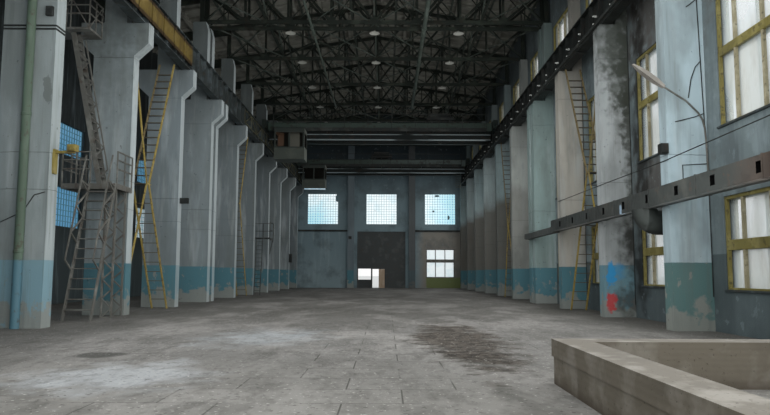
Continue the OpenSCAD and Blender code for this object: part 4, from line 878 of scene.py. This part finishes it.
def pressedGlass(name, s, p):
    material = newFinish(name)
    tree = material.node_tree
    ribs = waves(tree, "X", p["ribMm"], 1.5)
    left = allOf(tree, pastLine(tree, "X", *p["leftX"], 400, 0.5),
                 pastLine(tree, "Z", *p["leftZ"], 400, 0.6))
    right = allOf(tree, pastLine(tree, "X", *p["rightX"], 400, 0.7), pastLine(tree, "Z", *p["highZ"]))
    tint = anyOf(tree, left, right)
    dark = anyOf(tree, blotches(tree, 200, 0.72, 0.73, shift=(1, 4, 4)),
                 *[inSpot(tree, *hole, 0.1, 100) for hole in p["broken"]])
    inAisle = pastLine(tree, "X", *p["aisleX"])
    white = allOf(tree, inAisle, pastLine(tree, "Y", *p["whiteY"]), pastLine(tree, "Z", *p["whiteZ"]))
    layers = [
        (s["edge"], tint, 0.8),
        (s["edge"], blotches(tree, 500, 0.5, 0.6), 0.3),
        (s["white"], white, 1),
        (s["dark"], dark, 1),
    ]
    colour = paintLayers(tree, s["glass"], layers)
    shader = coatSurface(tree, colour, s["roughness"], ribs, 2)
    # painted glow on the blocks' inner faces, standing in for the daylight through them
    farSide = allOf(tree, pastLine(tree, "Y", *p["gableY"]), facing(tree, "Y", -0.4, -0.6))
    high = allOf(tree, farSide, pastLine(tree, "Z", *p["highZ"]))
    farSide = anyOf(tree, high, share(tree, farSide, p["lowGlow"]))
    nearSide = allOf(tree, pastLine(tree, "Y", *[-y for y in p["gableY"]]), facing(tree, "Y", 0.4, 0.6))
    aisleSide = allOf(tree, inAisle, facing(tree, "X", 0.4, 0.6))
    glowingFaces = anyOf(tree, farSide, nearSide, aisleSide)
    tree.links.new(colour, shader.inputs["Emission Color"])
    tree.links.new(share(tree, glowingFaces, s["glow"]), shader.inputs["Emission Strength"])
    amount = addNode(tree, "Math", {"operation": "MULTIPLY_ADD", 1: s["tinted"], 2: s["clear"]}, {0: tint})
    opaque = anyOf(tree, less(tree, amount.outputs[0], white, p["whiteLess"]), dark)
    tree.links.new(opaque, shader.inputs["Alpha"])
    return material


# Window glass: wiped clear in places, milky with dust in patches
paneSet = {"clear": "#dbe8ee", "milk": "#d6dcd9", "brown": "#a39c88", "roughness": 0.25,
           "alpha": 0.3, "dustAlpha": 0.35}


def dustyGlass(s):
    material = newFinish("dusty_window_glass")
    tree = material.node_tree
    dusty = blotches(tree, 700, 0.4, 0.6, stretch=(1, 1, 0.5), detail=2)
    smears = blotches(tree, 200, 0.5, 0.72, stretch=(1, 1, 0.3), shift=(0, 4, 0))
    layers = [
        (s["milk"], dusty, 1),
        (s["brown"], smears, 0.35),
    ]
    shader = coatSurface(tree, paintLayers(tree, s["clear"], layers), s["roughness"])
    amount = addNode(tree, "Math", {"operation": "MULTIPLY_ADD", 1: s["dustAlpha"], 2: s["alpha"]},
                     {0: dusty})
    tree.links.new(amount.outputs[0], shader.inputs["Alpha"])
    return material


steels = {name: paintedSteel(name, settings) for name, settings in steelSets.items()}
finishes = dict(steels)
finishes.update({
    "worn_floor": wornPaving(floorSet), "raw_concrete": castConcrete(castSet),
    "painted_concrete": limewashedColumn(columnSet), "plaster": limewashedPlaster(plasterSet),
    "roof_slabs": sootySlabs(roofSet), "yellow_paint": yellowPanels(yellowSet),
    "duct_sheet": ductSheet(ductSet), "green_pipe": pipeEnamel(pipeSet), "lamp_enamel": lampEnamel(lampSet),
    "glass_blocks": pressedGlass("pressed_glass", blockSets["gable"], glassPlaces),
    "pane_glass": dustyGlass(paneSet), "runway_steel": steels["left_runway"],
})
bridge = bridgeEnamel(bridgeSet)
cabFinish = cabEnamel(cabSet)
ownFinish = {
    "yellow_ladders": ladderEnamel(ladderSet), "right_crane_girder": steels["right_runway"],
    "duct_elbow": elbowSheet(elbowSet), "near_crane_cab": cabFinish, "far_crane_cab": cabFinish,
    "near_crane_girders": bridge, "far_crane_girders": bridge,
    "aisle_glass": pressedGlass("blue_pressed_glass", blockSets["aisle"], glassPlaces),
}
for part in frame["record"]["subparts"]:
    mesh = nodes[part["node"]].data
    mesh.materials.clear()
    mesh.materials.append(ownFinish.get(part["node"], finishes[part["material_slot"]]))
print("finishes on the frame")


# Modelling by hand: a primitive, edit mode, modifiers, copies
def startPiece(adder, **where):
    bpy.ops.object.select_all(action="DESELECT")
    adder(**where)
    return bpy.context.object


def settle(piece):  # its place, turn and size go into its mesh
    bpy.ops.object.transform_apply(location=True, rotation=True, scale=True)
    return piece


def selectFaces(piece, wanted):  # by their place or normal, and stays in edit mode
    bpy.ops.object.mode_set(mode="EDIT")
    bpy.ops.mesh.select_mode(type="FACE")
    bpy.ops.mesh.select_all(action="DESELECT")
    bpy.ops.object.mode_set(mode="OBJECT")
    for face in piece.data.polygons:
        face.select = wanted(face.center, face.normal)
    bpy.ops.object.mode_set(mode="EDIT")


def applyModifier(piece, kind, **settings):
    modifier = piece.modifiers.new(kind.lower(), kind)
    for name, value in settings.items():
        setattr(modifier, name, value)
    bpy.context.view_layer.objects.active = piece
    bpy.ops.object.modifier_apply(modifier=modifier.name)
    return piece


def joinPieces(pieces):
    bpy.ops.object.select_all(action="DESELECT")
    for piece in pieces:
        piece.select_set(True)
    bpy.context.view_layer.objects.active = pieces[0]
    bpy.ops.object.join()
    return pieces[0]


def copiesOf(piece, places):  # the piece at each place, as one mesh
    copies = []
    for place in places:
        copy = piece.copy()
        copy.data = piece.data.copy()
        copy.data.transform(place)
        bpy.context.collection.objects.link(copy)
        copies.append(copy)
    bpy.data.objects.remove(piece)
    return joinPieces(copies)


def dress(piece, name, material, body="hall"):  # what every finished piece gets
    piece.name = name
    piece.data.name = name
    piece.data.materials.clear()
    piece.data.materials.append(material)
    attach(piece, body)


def latticeFrame(width, height, uprights, crossbars, depth, bevel):  # bars in a plane, drawn flat
    piece = startPiece(bpy.ops.mesh.primitive_plane_add, size=1, location=(width / 2, height / 2, 0))
    piece.scale = (width, height, 1)
    settle(piece)
    bpy.ops.object.mode_set(mode="EDIT")
    for side, end, bars in ((Vector((1, 0, 0)), width, uprights), (Vector((0, 1, 0)), height, crossbars)):
        for edge in sorted({edge for bar in bars for edge in bar}):
            if 0 < edge < end:
                bpy.ops.mesh.select_all(action="SELECT")
                bpy.ops.mesh.bisect(plane_co=side * edge, plane_no=side)
    bpy.ops.object.mode_set(mode="OBJECT")

    def isOpening(centre, normal):
        inUpright = any(low < centre.x < high for low, high in uprights)
        return not inUpright and not any(low < centre.y < high for low, high in crossbars)

    selectFaces(piece, isOpening)
    bpy.ops.mesh.delete(type="FACE")
    bpy.ops.object.mode_set(mode="OBJECT")
    applyModifier(piece, "SOLIDIFY", thickness=depth, offset=0)
    if bevel:
        applyModifier(piece, "BEVEL", width=bevel, segments=1)
    return piece


def barsAt(places, width):  # the two edges of each bar
    return [(place - width / 2, place + width / 2) for place in places]


sideTurn = Matrix(((0, 0, 1, 0), (1, 0, 0, 0), (0, 1, 0, 0), (0, 0, 0, 1)))  # stands along the hall
gableTurn = Matrix(((1, 0, 0, 0), (0, 0, -1, 0), (0, 1, 0, 0), (0, 0, 0, 1)))  # stands across it


def openingWidth(low, high):  # of one window, from the box of a row with one to a bay
    return high.y - low.y - (hall["bays"] - 1) * hall["bay"]


def inEachBay(x, y, z):  # the same place on a side wall, one bay after another
    return [Matrix.Translation((x, y + k * hall["bay"], z)) @ sideTurn for k in range(hall["bays"])]


def barPlace(start, end, width, depth):  # sets a bar of unit length between two points
    along = Vector(end) - Vector(start)
    turn = along.to_track_quat("Z", "Y").to_matrix().to_4x4()
    return Matrix.Translation(start) @ turn @ Matrix.Diagonal((width, depth, along.length, 1))


def angleBar(leg=0.28):  # rolled angle, legs along its lower and left edges
    piece = latticeFrame(1, 1, [(0, leg)], [(0, leg)], 1, 0)
    piece.data.transform(Matrix.Translation((-0.5, -0.5, 0.5)))
    return piece


def squareBar(bevel=0.06):  # square or flat bar, its arrises eased
    piece = settle(startPiece(bpy.ops.mesh.primitive_cube_add, size=1, location=(0, 0, 0.5)))
    return applyModifier(piece, "BEVEL", width=bevel, segments=1)


# Window frames of the windowed wall: oil paint, ochre within, weathered mullions, pale sashes without
woodSet = {"paint": "#6f6735", "light": "#857d4c", "dark": "#3d3722", "roughness": 0.55}
mullionSet = {"paint": "#8b846a", "light": "#a8a28b", "dark": "#4a4433", "roughness": 0.6}
sashSet = {"paint": "#b4b09c", "light": "#c9c6b5", "dark": "#6d6551", "roughness": 0.6}


def framePaint(name, s):  # oil paint on wood: brush grain along the bars, dark where it has flaked
    material = newFinish(name)
    tree = material.node_tree
    grain = blotches(tree, 30, 0.35, 0.65, stretch=(1, 0.3, 0.3), detail=2)
    flakes = blotches(tree, 70, 0.58, 0.64, shift=(2, 0, 2))
    layers = [
        (s["light"], blotches(tree, 250, 0.5, 0.6), 0.7),
        (s["dark"], flakes, 0.7),
        (s["dark"], blotches(tree, 900, 0.5, 0.7, shift=(0, 5, 0)), 0.5),
    ]
    coatSurface(tree, paintLayers(tree, s["paint"], layers), s["roughness"], grain, 0.6)
    return material


frameSet = {
    "mullions": (0.22, 0.45, 0.78), "sashMullions": (0.31, 0.6, 0.88),
    "rows": {"low": (0.55, 0.69), "middle": (1.0, 1.12), "top": ()},  # the transom of each
    "border": 0.05, "bar": 0.045, "depth": 0.045, "bevel": 0.004,
    "sashBar": 0.026, "inset": 0.014, "mullionInset": 0.016, "sashInset": 0.13,
}


def addWindowFrames(s):
    ochre = framePaint("ochre_frame_paint", woodSet)
    pale = framePaint("pale_sash_paint", sashSet)
    weathered = framePaint("weathered_mullion_paint", mullionSet)
    for row, transom in s["rows"].items():
        low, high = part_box("right_glass_" + row)
        width, height, rim = openingWidth(low, high), high.z - low.z, s["border"]
        for layer, bar, mullions, inset, paint in (
                ("frames", 0, (), s["inset"], ochre),
                ("mullions", s["bar"], s["mullions"], s["mullionInset"], weathered),
                ("sashes", s["sashBar"], s["sashMullions"], s["sashInset"], pale)):
            uprights = barsAt([m * width for m in mullions], bar)
            crossbars = []
            if layer != "mullions":
                uprights += [(0, rim), (width - rim, width)]
                crossbars = [(0, rim), (height - rim, height)] + ([transom] if transom else [])
            drawn = latticeFrame(width, height, uprights, crossbars, s["depth"], s["bevel"])
            places = inEachBay(wallIn + inset + s["depth"] / 2, low.y, low.z)
            dress(copiesOf(drawn, places), "right_" + layer + "_" + row, paint)


addWindowFrames(frameSet)
print("window frames")

# Steel window of the gable: three lights across, parted by a broad transom; heights as parts of the whole
steelWindowSet = {"centre": 3.22, "size": (1.555, 1.57), "sill": 0.555, "forward": 0.04, "border": 0.05,
                  "bar": 0.04, "transom": (0.53, 0.64), "depth": 0.06, "bevel": 0.004}


def addSteelWindow(s):
    low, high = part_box("far_wall_right")
    (width, height), rim = s["size"], s["border"]
    uprights = [(0, rim), (width - rim, width)] + barsAt([width / 3, width * 2 / 3], s["bar"])
    crossbars = [(0, rim), (height - rim, height), [height * part for part in s["transom"]]]
    drawn = latticeFrame(width, height, uprights, crossbars, s["depth"], s["bevel"])
    y = (low.y + high.y) / 2 - s["forward"]
    place = Matrix.Translation((s["centre"] - width / 2, y, floorTop + s["sill"])) @ gableTurn
    dress(copiesOf(drawn, [place]), "gable_steel_window", steels["grey_steel"])


addSteelWindow(steelWindowSet)

# White cement mortar: sandy, tinted by the light that the glass carries into it
mortarSet = {"mortar": "#7ab0bd", "shade": "#5f95a4", "alpha": 0.62, "roughness": 0.9}


def mortarFinish(s):
    material = newFinish("white_cement_joints")
    tree = material.node_tree
    layers = [
        (s["shade"], blotches(tree, 200, 0.45, 0.65), 0.7),
    ]
    sand = blotches(tree, 6, 0.3, 0.7)
    colour = paintLayers(tree, s["mortar"], layers)
    coatSurface(tree, colour, s["roughness"], sand, 1, {"Alpha": s["alpha"]})
    return material


# Joints between the glass blocks: cement ribs that stand proud of the glass on both faces
jointSet = {"rib": 0.016, "depth": 0.062, "size": 1.66, "apart": 3.22, "blocks": 12, "along": 14,
            "aisle": {"low": {"height": 1.0, "up": 7}, "high": {"height": 0.8, "up": 6}}}


def blockRibs(s, width, height, across, up):
    uprights = barsAt([width * i / across for i in range(across + 1)], s["rib"])
    crossbars = barsAt([height * i / up for i in range(up + 1)], s["rib"])
    return latticeFrame(width, height, uprights, crossbars, s["depth"], 0)


def addBlockJoints(s):
    mortar = mortarFinish(mortarSet)
    size = s["size"]
    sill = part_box("gable_glass")[1].z - size
    ribs = blockRibs(s, size, size, s["blocks"], s["blocks"])
    depth = (wallOut - wallIn) / 2
    places = [Matrix.Translation((i * s["apart"] - size / 2, y, sill)) @ gableTurn
              for i in (-1, 0, 1) for y in (gableIn + depth, -gableIn - depth)]
    dress(copiesOf(ribs, places), "gable_block_joints", mortar)
    low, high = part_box("aisle_glass")
    for name, band in s["aisle"].items():
        ribs = blockRibs(s, openingWidth(low, high), band["height"], s["along"], band["up"])
        bottom = low.z if name == "low" else high.z - band["height"]
        places = inEachBay((low.x + high.x) / 2, low.y, bottom)
        dress(copiesOf(ribs, places), "aisle_block_joints_" + name, mortar)


addBlockJoints(jointSet)
print("glass block joints")

# Roof: cross ribs under the slabs, purlins, and the light angle bracing in and between the trusses
trussLow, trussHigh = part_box("trusses_far")
trussLeft = trussLow.x + hall["truss"]
trussRight = trussHigh.x - hall["truss"]
ridgeX = (trussLeft + trussRight) / 2
roofSlope = hall["rise"] / (trussRight - ridgeX)
panel = (trussRight - trussLeft) / hall["panels"]


def roofLine(x):  # top of the trusses
    return trussHigh.z - roofSlope * abs(x - ridgeX)


roofWorkSet = {"ribs": 4, "ribWidth": 0.06, "ribDepth": 0.09, "edge": 0.3, "angle": 0.045,
               "light": 0.032, "purlin": 0.06, "chord": 0.05,
               "crosses": (1.5, 4, 6.5), "flatCrosses": ((0, 1.5), (6.5, 8), (2.5, 4), (4, 5.5))}


def trussLines():  # a truss on every column line, and a twin pair at the expansion joint
    twin = hall["expansionLine"]
    lines = [lineY(k) for k in range(hall["bays"] + 1) if k != twin]
    return sorted(lines + [lineY(twin) - hall["expansionGap"], lineY(twin) + hall["expansionGap"]])


def addRoofRibs(s):
    places = []
    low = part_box("roof_left_slope")[0].x + s["edge"]
    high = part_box("roof_right_slope")[1].x - s["edge"]
    pitch = hall["bay"] / s["ribs"]
    for i in range(hall["bays"] * s["ribs"] + 1):
        y = lineY(0) + i * pitch
        for x in (low, high):
            start = (x, y, roofLine(x) + hall["rib"] - s["ribDepth"] / 2)
            end = (ridgeX, y, roofLine(ridgeX) + hall["rib"] - s["ribDepth"] / 2)
            places.append(barPlace(start, end, s["ribWidth"], s["ribDepth"]))
    dress(copiesOf(squareBar(), places), "roof_cross_ribs", finishes["roof_slabs"])


def addTrussBracing(s):
    places = []
    for y in trussLines():
        for i in range(hall["panels"]):
            foot = trussLeft + (i + 0.5) * panel
            left, right = trussLeft + i * panel, trussLeft + (i + 1) * panel
            falling = i < hall["panels"] / 2
            topX = left if falling else right
            farX = right if falling else left
            chordZ = trussLow.z + s["chord"]
            middle = (chordZ + roofLine(topX) - s["chord"]) / 2
            for start, end in (((foot, y, chordZ), (foot, y, middle)),
                               ((foot, y, middle), (farX, y, roofLine(farX) - s["chord"])),
                               ((foot, y, middle), (topX, y, chordZ))):
                places.append(barPlace(start, end, s["light"], s["light"]))
    dress(copiesOf(angleBar(), places), "truss_light_bars", steels["truss_steel"])


def addLongBracing(s):
    places = []
    low = trussLow.z + 2 * s["chord"]
    for i in range(hall["panels"] + 1):
        x = trussLeft + i * panel
        z = roofLine(x) + s["chord"] / 2
        places.append(barPlace((x, lineY(0), z), (x, lineY(hall["bays"]), z), s["purlin"], s["purlin"]))
    for k in range(hall["bays"]):
        y0, y1 = lineY(k), lineY(k + 1)
        for i in s["crosses"]:
            x = trussLeft + i * panel
            high = roofLine(x) - s["chord"]
            places.append(barPlace((x, y0, low), (x, y1, high), s["angle"], s["angle"]))
            places.append(barPlace((x, y0, high), (x, y1, low), s["angle"], s["angle"]))
            places.append(barPlace((x, y0, (low + high) / 2), (x, y1, (low + high) / 2),
                                   s["light"], s["light"]))
        for i, j in s["flatCrosses"]:
            a, b = trussLeft + i * panel, trussLeft + j * panel
            places.append(barPlace((a, y0, low), (b, y1, low), s["light"], s["light"]))
            places.append(barPlace((b, y0, low), (a, y1, low), s["light"], s["light"]))
    dress(copiesOf(angleBar(), places), "roof_long_bracing", steels["pale_bracing"])


addRoofRibs(roofWorkSet)
addTrussBracing(roofWorkSet)
addLongBracing(roofWorkSet)
print("roof work")

# Insulators of the power rails: pairs of glazed porcelain bells on the web of the right girder
insulatorSet = {"radius": 0.024, "height": 0.045, "count": 39, "pitch": 1.0, "start": -19.1,
                "levels": (5.84, 6.0), "web": 0.012, "glaze": "#b9bdb8", "dust": "#6f7370",
                "roughness": 0.25}


def insulatorBell(s):
    piece = startPiece(bpy.ops.mesh.primitive_cylinder_add, vertices=10, radius=s["radius"],
                       depth=s["height"], location=(0, 0, s["height"] / 2))
    settle(piece)
    selectFaces(piece, lambda centre, normal: normal.z > 0.9)
    bpy.ops.mesh.inset(thickness=s["radius"] * 0.4, depth=0)
    bpy.ops.mesh.extrude_region_move(TRANSFORM_OT_translate={"value": (0, 0, s["height"] * 0.5)})
    bpy.ops.transform.resize(value=(1.4, 1.4, 1))
    bpy.ops.mesh.extrude_region_move(TRANSFORM_OT_translate={"value": (0, 0, s["height"] * 0.35)})
    bpy.ops.transform.resize(value=(0.5, 0.5, 1))
    bpy.ops.object.mode_set(mode="OBJECT")
    return piece


def glazedPorcelain(s):  # hard, glossy, greyed by soot on its upper side
    material = newFinish("glazed_porcelain")
    tree = material.node_tree
    layers = [
        (s["dust"], facing(tree, "Z", 0.1, 0.8), 0.7),
        (s["dust"], blotches(tree, 40, 0.5, 0.65), 0.5),
    ]
    ripple = blotches(tree, 20, 0.4, 0.6)
    coatSurface(tree, paintLayers(tree, s["glaze"], layers), s["roughness"], ripple, 0.5)
    return material


def addInsulators(s):
    low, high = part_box("right_crane_girder")
    web = (low.x + high.x) / 2 - s["web"]
    toHall = Matrix.Rotation(-math.pi / 2, 4, "Y")
    places = [Matrix.Translation((web, s["start"] + i * s["pitch"], level)) @ toHall
              for i in range(s["count"]) for level in s["levels"]]
    dress(copiesOf(insulatorBell(s), places), "rail_insulators", glazedPorcelain(s))


addInsulators(insulatorSet)

# Sill boards under the low and middle windows
sillSet = {"depth": 0.12, "thick": 0.03, "over": 0.04, "out": 0.035, "drop": 0.004}


def addSills(s):
    places = []
    for row in ("low", "middle"):
        low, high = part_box("right_glass_" + row)
        width = openingWidth(low, high)
        x = wallIn - s["out"] + s["depth"] / 2
        z = low.z + s["thick"] / 2 - s["drop"]
        for k in range(hall["bays"]):
            y = low.y + k * hall["bay"]
            places.append(barPlace((x, y - s["over"], z), (x, y + width + s["over"], z),
                                   s["depth"], s["thick"]))
    dress(copiesOf(squareBar(), places), "window_sills", steels["left_runway"])


addSills(sillSet)

# Cast collars of the downpipe
collarSet = {"grow": 0.009, "height": 0.05, "bevel": 0.012, "levels": (1.15, 3.12, 5.1, 7.0)}


def addPipeCollars(s):
    low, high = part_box("downpipe")
    radius = (high.x - low.x) / 2
    piece = startPiece(bpy.ops.mesh.primitive_cylinder_add, vertices=32, radius=radius + s["grow"],
                       depth=s["height"], location=((low.x + high.x) / 2, (low.y + high.y) / 2, 0))
    settle(piece)
    applyModifier(piece, "BEVEL", width=s["bevel"], segments=2)
    places = [Matrix.Translation((0, 0, z)) for z in s["levels"]]
    dress(copiesOf(piece, places), "downpipe_collars", finishes["green_pipe"])


addPipeCollars(collarSet)
print("pipe and sills")


def tubeAlong(points, radius, sides=8):  # a round bar or pipe along a route
    curve = bpy.data.curves.new("route", "CURVE")
    curve.dimensions = "3D"
    curve.bevel_depth = radius
    curve.bevel_resolution = sides // 4
    curve.use_fill_caps = True
    spline = curve.splines.new("POLY")
    spline.points.add(len(points) - 1)
    for point, place in zip(spline.points, points):
        point.co = (*place, 1)
    piece = bpy.data.objects.new("route", curve)
    bpy.context.collection.objects.link(piece)
    bpy.ops.object.select_all(action="DESELECT")
    piece.select_set(True)
    bpy.context.view_layer.objects.active = piece
    bpy.ops.object.convert(target="MESH")
    return bpy.context.object


# Steel straps round the first left column: its sides, its near face and its depth
strapSet = {"x": (-5.335, -4.565), "y": -7.6375, "deep": 0.275, "levels": (4.4, 4.45), "height": 0.026,
            "proud": 0.008}


def addStraps(s):
    (left, right), near = s["x"], s["y"]
    back = near + s["deep"]
    corners = ((left, near), (right, near), (right, back), (left, back), (left, near))
    places = []
    for level in s["levels"]:
        for start, end in zip(corners, corners[1:]):
            places.append(barPlace((*start, level), (*end, level), 2 * s["proud"], s["height"]))
    dress(copiesOf(squareBar(), places), "column_straps", steels["dark_steel"])


addStraps(strapSet)

# Pipes hung under the trusses, with a clip at every truss
hungSet = {"z": 7.76, "start": 0.4, "lastLine": 10, "clip": 0.03, "clipOver": 0.03,
           "runs": {"wide": {"x": 1.32, "radius": 0.06}, "narrow": {"x": -1.85, "radius": 0.035}}}


def addHungPipes(s):
    for name, run in s["runs"].items():
        end = lineY(s["lastLine"])
        pipe = tubeAlong([(run["x"], lineY(0) + s["start"], s["z"]), (run["x"], end, s["z"])],
                         run["radius"], 16)
        size = run["radius"] * 2 + s["clipOver"]
        clips = [barPlace((run["x"], y, s["z"] - size / 2), (run["x"], y, trussLow.z), size, s["clip"])
                 for y in trussLines() if y < end]
        pipe = joinPieces([pipe, copiesOf(squareBar(), clips)])
        dress(pipe, "hung_pipe_" + name, steels["hung_pipe"])


addHungPipes(hungSet)

# Lamp on a bent arm at the first right column
armSet = {"route": ((4.858, -7.65, 2.3), (4.85, -7.65, 2.75), (4.83, -7.66, 2.96), (4.79, -7.69, 3.07),
                    (4.72, -7.72, 3.16), (4.54, -7.76, 3.32), (4.16, -7.85, 3.52)),
          "radius": 0.014, "head": (4.19, -7.85, 3.5), "tip": (3.72, -7.94, 3.8), "width": 0.1,
          "depth": 0.07, "waist": 0.45, "pinch": 0.55}


def lampHead(s):  # a long hood, pinched at its ends
    piece = startPiece(bpy.ops.mesh.primitive_cube_add, size=1, location=(0, 0, 0.5))
    settle(piece)
    bpy.ops.object.mode_set(mode="EDIT")
    bpy.ops.mesh.select_all(action="SELECT")
    bpy.ops.mesh.subdivide(number_cuts=3)
    bpy.ops.object.mode_set(mode="OBJECT")
    for vertex in piece.data.vertices:
        pinch = 1 - s["pinch"] * abs(vertex.co.z - s["waist"]) ** 2 * 4
        vertex.co.x *= pinch
        vertex.co.y *= pinch
    return applyModifier(piece, "BEVEL", width=0.04, segments=2)


def addLampArm(s):
    arm = tubeAlong(s["route"], s["radius"])
    head = copiesOf(lampHead(s), [barPlace(s["head"], s["tip"], s["width"], s["depth"])])
    dress(arm, "lamp_arm", steels["grey_steel"])
    dress(head, "arm_lamp", steels["arm_hood"])


addLampArm(armSet)

# Conduits and cables along the faces of the columns
conduitSet = {"radius": 0.0075, "runs": (
    ((4.862, -7.644, 0.55), (4.862, -7.644, 1.9), (4.855, -7.644, 2.4), (4.83, -7.644, 3.3),
     (4.79, -7.644, 5.1)),
    ((4.294, -13.4, 2.5), (4.294, -10.7, 2.54), (4.294, -7.5, 2.5), (4.294, -4.5, 2.53),
     (4.294, -1.5, 2.55)),
    ((4.82, -7.644, 3.95), (4.74, -7.644, 3.86), (4.67, -7.644, 3.68), (4.62, -7.644, 3.4)),
    ((4.79, -7.644, 4.88), (4.7, -7.644, 4.8), (4.64, -7.644, 4.76)),
    ((4.83, -7.644, 3.17), (4.7, -7.644, 3.12), (4.42, -7.644, 3.05)),
    ((4.855, -7.644, 2.44), (4.5, -7.644, 2.42), (4.5, -7.644, 2.1)),
    ((4.862, -4.644, 0.3), (4.862, -4.644, 2.0), (4.862, -4.644, 5.6)),
    ((4.862, -1.644, 0.3), (4.862, -1.644, 2.6), (4.862, -1.644, 5.6)),
    ((-4.6, -7.644, 2.0), (-4.75, -7.644, 1.96), (-4.9, -7.644, 1.72), (-5.25, -7.644, 1.55)),
)}


def addConduits(s):
    runs = [tubeAlong(points, s["radius"]) for points in s["runs"]]
    dress(joinPieces(runs), "wall_conduits", steels["dark_steel"])


addConduits(conduitSet)

# Small fittings: switch boxes, a floodlight and a bracket, each box by its centre and size
fittingSet = {
    "switch_box": {"steel": "dark_steel", "boxes": (
        ((-4.475, -1.46, 2.54), (0.2, 0.1, 0.13)),
        ((-4.66, -7.66, 4.66), (0.1, 0.06, 0.14)),
        ((-4.5, 16.5, 1.6), (0.14, 0.22, 0.42)),
        ((-1.7, 19.48, 2.79), (0.16, 0.08, 0.16)),
    )},
    "floodlight": {"steel": "dark_steel", "boxes": (
        ((4.25, -7.6, 2.66), (0.11, 0.13, 0.15)),
    )},
    "yellow_bracket": {"steel": "yellow_steel", "boxes": (
        ((-4.42, -7.5, 2.6), (0.31, 0.04, 0.04)),
        ((-4.555, -7.5, 2.46), (0.04, 0.1, 0.36)),
        ((-4.3, -7.5, 2.66), (0.12, 0.12, 0.1)),
    )},
}


def fittingBody():  # a unit box with its face drawn in and raised, edges eased
    piece = settle(startPiece(bpy.ops.mesh.primitive_cube_add, size=1, location=(0, 0, 0)))
    selectFaces(piece, lambda centre, normal: normal.y < -0.9)
    bpy.ops.mesh.inset(thickness=0.12, depth=0)
    bpy.ops.mesh.extrude_region_move(TRANSFORM_OT_translate={"value": (0, -0.08, 0)})
    bpy.ops.object.mode_set(mode="OBJECT")
    return applyModifier(piece, "BEVEL", width=0.03, segments=2)


def addFittings(s):
    for name, fitting in s.items():
        places = [Matrix.Translation(centre) @ Matrix.Diagonal((*size, 1))
                  for centre, size in fitting["boxes"]]
        dress(copiesOf(fittingBody(), places), name, steels[fitting["steel"]])


addFittings(fittingSet)
print("straps, pipes, conduits and fittings")

# Small platform on the tenth left column, with a ladder down to the floor and one up the column
stagingSet = {"deck": {"x": (-4.79, -4.02), "y": (7.63, 8.4), "z": 2.15}, "plate": 0.03, "rail": 0.58,
              "beam": 0.08, "beamDrop": 0.05, "strutDrop": 0.6, "strutShort": 0.1,
              "bar": 0.028, "rung": 0.018, "pitch": 0.15,
              "down": {"x": (-4.5, -4.28), "lean": 0.35, "over": 0.02},
              "up": {"x": (-4.76, -4.58), "top": 4.75}}


def ladderPlaces(s, xs, foot, top):  # foot and top as (y, z)
    places = [barPlace((x, *foot), (x, *top), s["bar"], s["bar"]) for x in xs]
    count = int((top[1] - foot[1]) / s["pitch"])
    for i in range(1, count + 1):
        part = i / (count + 1)
        y = foot[0] + (top[0] - foot[0]) * part
        z = foot[1] + (top[1] - foot[1]) * part
        places.append(barPlace((xs[0], y, z), (xs[1], y, z), s["rung"], s["rung"]))
    return places


def addStaging(s):
    (x0, x1), (y0, y1), z = s["deck"]["x"], s["deck"]["y"], s["deck"]["z"]
    middle = (y0 + y1) / 2
    beamZ = z - s["beamDrop"]
    places = [barPlace((x0, middle, z), (x1, middle, z), y1 - y0, s["plate"])]
    for x in (x0, x1):
        places.append(barPlace((x, y0, beamZ), (x, y1, beamZ), s["bar"], s["beam"]))
        places.append(barPlace((x, y0, z - s["strutDrop"]), (x, y1 - s["strutShort"], beamZ),
                               s["bar"], s["bar"]))
    for x, y in ((x0, y1), (x1, y1), (x1, y0), ((x0 + x1) / 2, y1)):  # posts of the railing
        places.append(barPlace((x, y, z), (x, y, z + s["rail"]), s["bar"], s["bar"]))
    for height in (s["rail"] / 2, s["rail"]):
        for start in ((x1, y0), (x0, y1)):
            places.append(barPlace((*start, z + height), (x1, y1, z + height), s["rung"], s["rung"]))
    down, up, face = s["down"], s["up"], y0 + s["bar"] / 2
    places += ladderPlaces(s, down["x"], (y0 - down["lean"], floorTop), (y0 + down["over"], z))
    places += ladderPlaces(s, up["x"], (face, z), (face, up["top"]))
    dress(copiesOf(squareBar(), places), "left_staging", steels["platform_steel"])


addStaging(stagingSet)

# Tube lamp under the front edge of the far cab
tubeSet = {"radius": 0.018, "x": (-3.93, -2.81), "y": 16.87, "z": 5.125, "bracket": 0.04, "below": 0.02,
           "seat": 0.005, "glass": "#cfe6f2", "cloud": "#9fc3d6", "glow": 0.8, "roughness": 0.4}


def addTubeLamp(s):
    tube = tubeAlong([(x, s["y"], s["z"]) for x in s["x"]], s["radius"], 16)
    glass = newFinish("frosted_tube")
    tree = glass.node_tree
    tint = paintLayers(tree, s["glass"], [(s["cloud"], blotches(tree, 300, 0.45, 0.6), 1)])
    shader = coatSurface(tree, tint, s["roughness"], extra={"Emission Strength": s["glow"]})
    tree.links.new(tint, shader.inputs["Emission Color"])
    dress(tube, "cab_tube_lamp", glass, "far_crane")
    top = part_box("near_crane_cab")[0].z + s["seat"]
    caps = [barPlace((x, s["y"], s["z"] - s["below"]), (x, s["y"], top), s["bracket"], s["bracket"])
            for x in s["x"]]
    dress(copiesOf(squareBar(), caps), "cab_tube_holders", steels["dark_steel"], "far_crane")


addTubeLamp(tubeSet)
print("staging and crane fittings")

# Pale ground a little below the building, for the stage alone
groundSet = {"size": 400, "z": -0.002, "paint": "#dcdcda", "roughness": 0.9}
ground = startPiece(bpy.ops.mesh.primitive_plane_add, size=groundSet["size"],
                    location=(0, 0, groundSet["z"]))
ground.name = "ground"
groundPaint = newFinish("pale_ground")
coatSurface(groundPaint.node_tree, paintLayers(groundPaint.node_tree, groundSet["paint"], []),
            groundSet["roughness"])
ground.data.materials.append(groundPaint)

print("pieces in place")
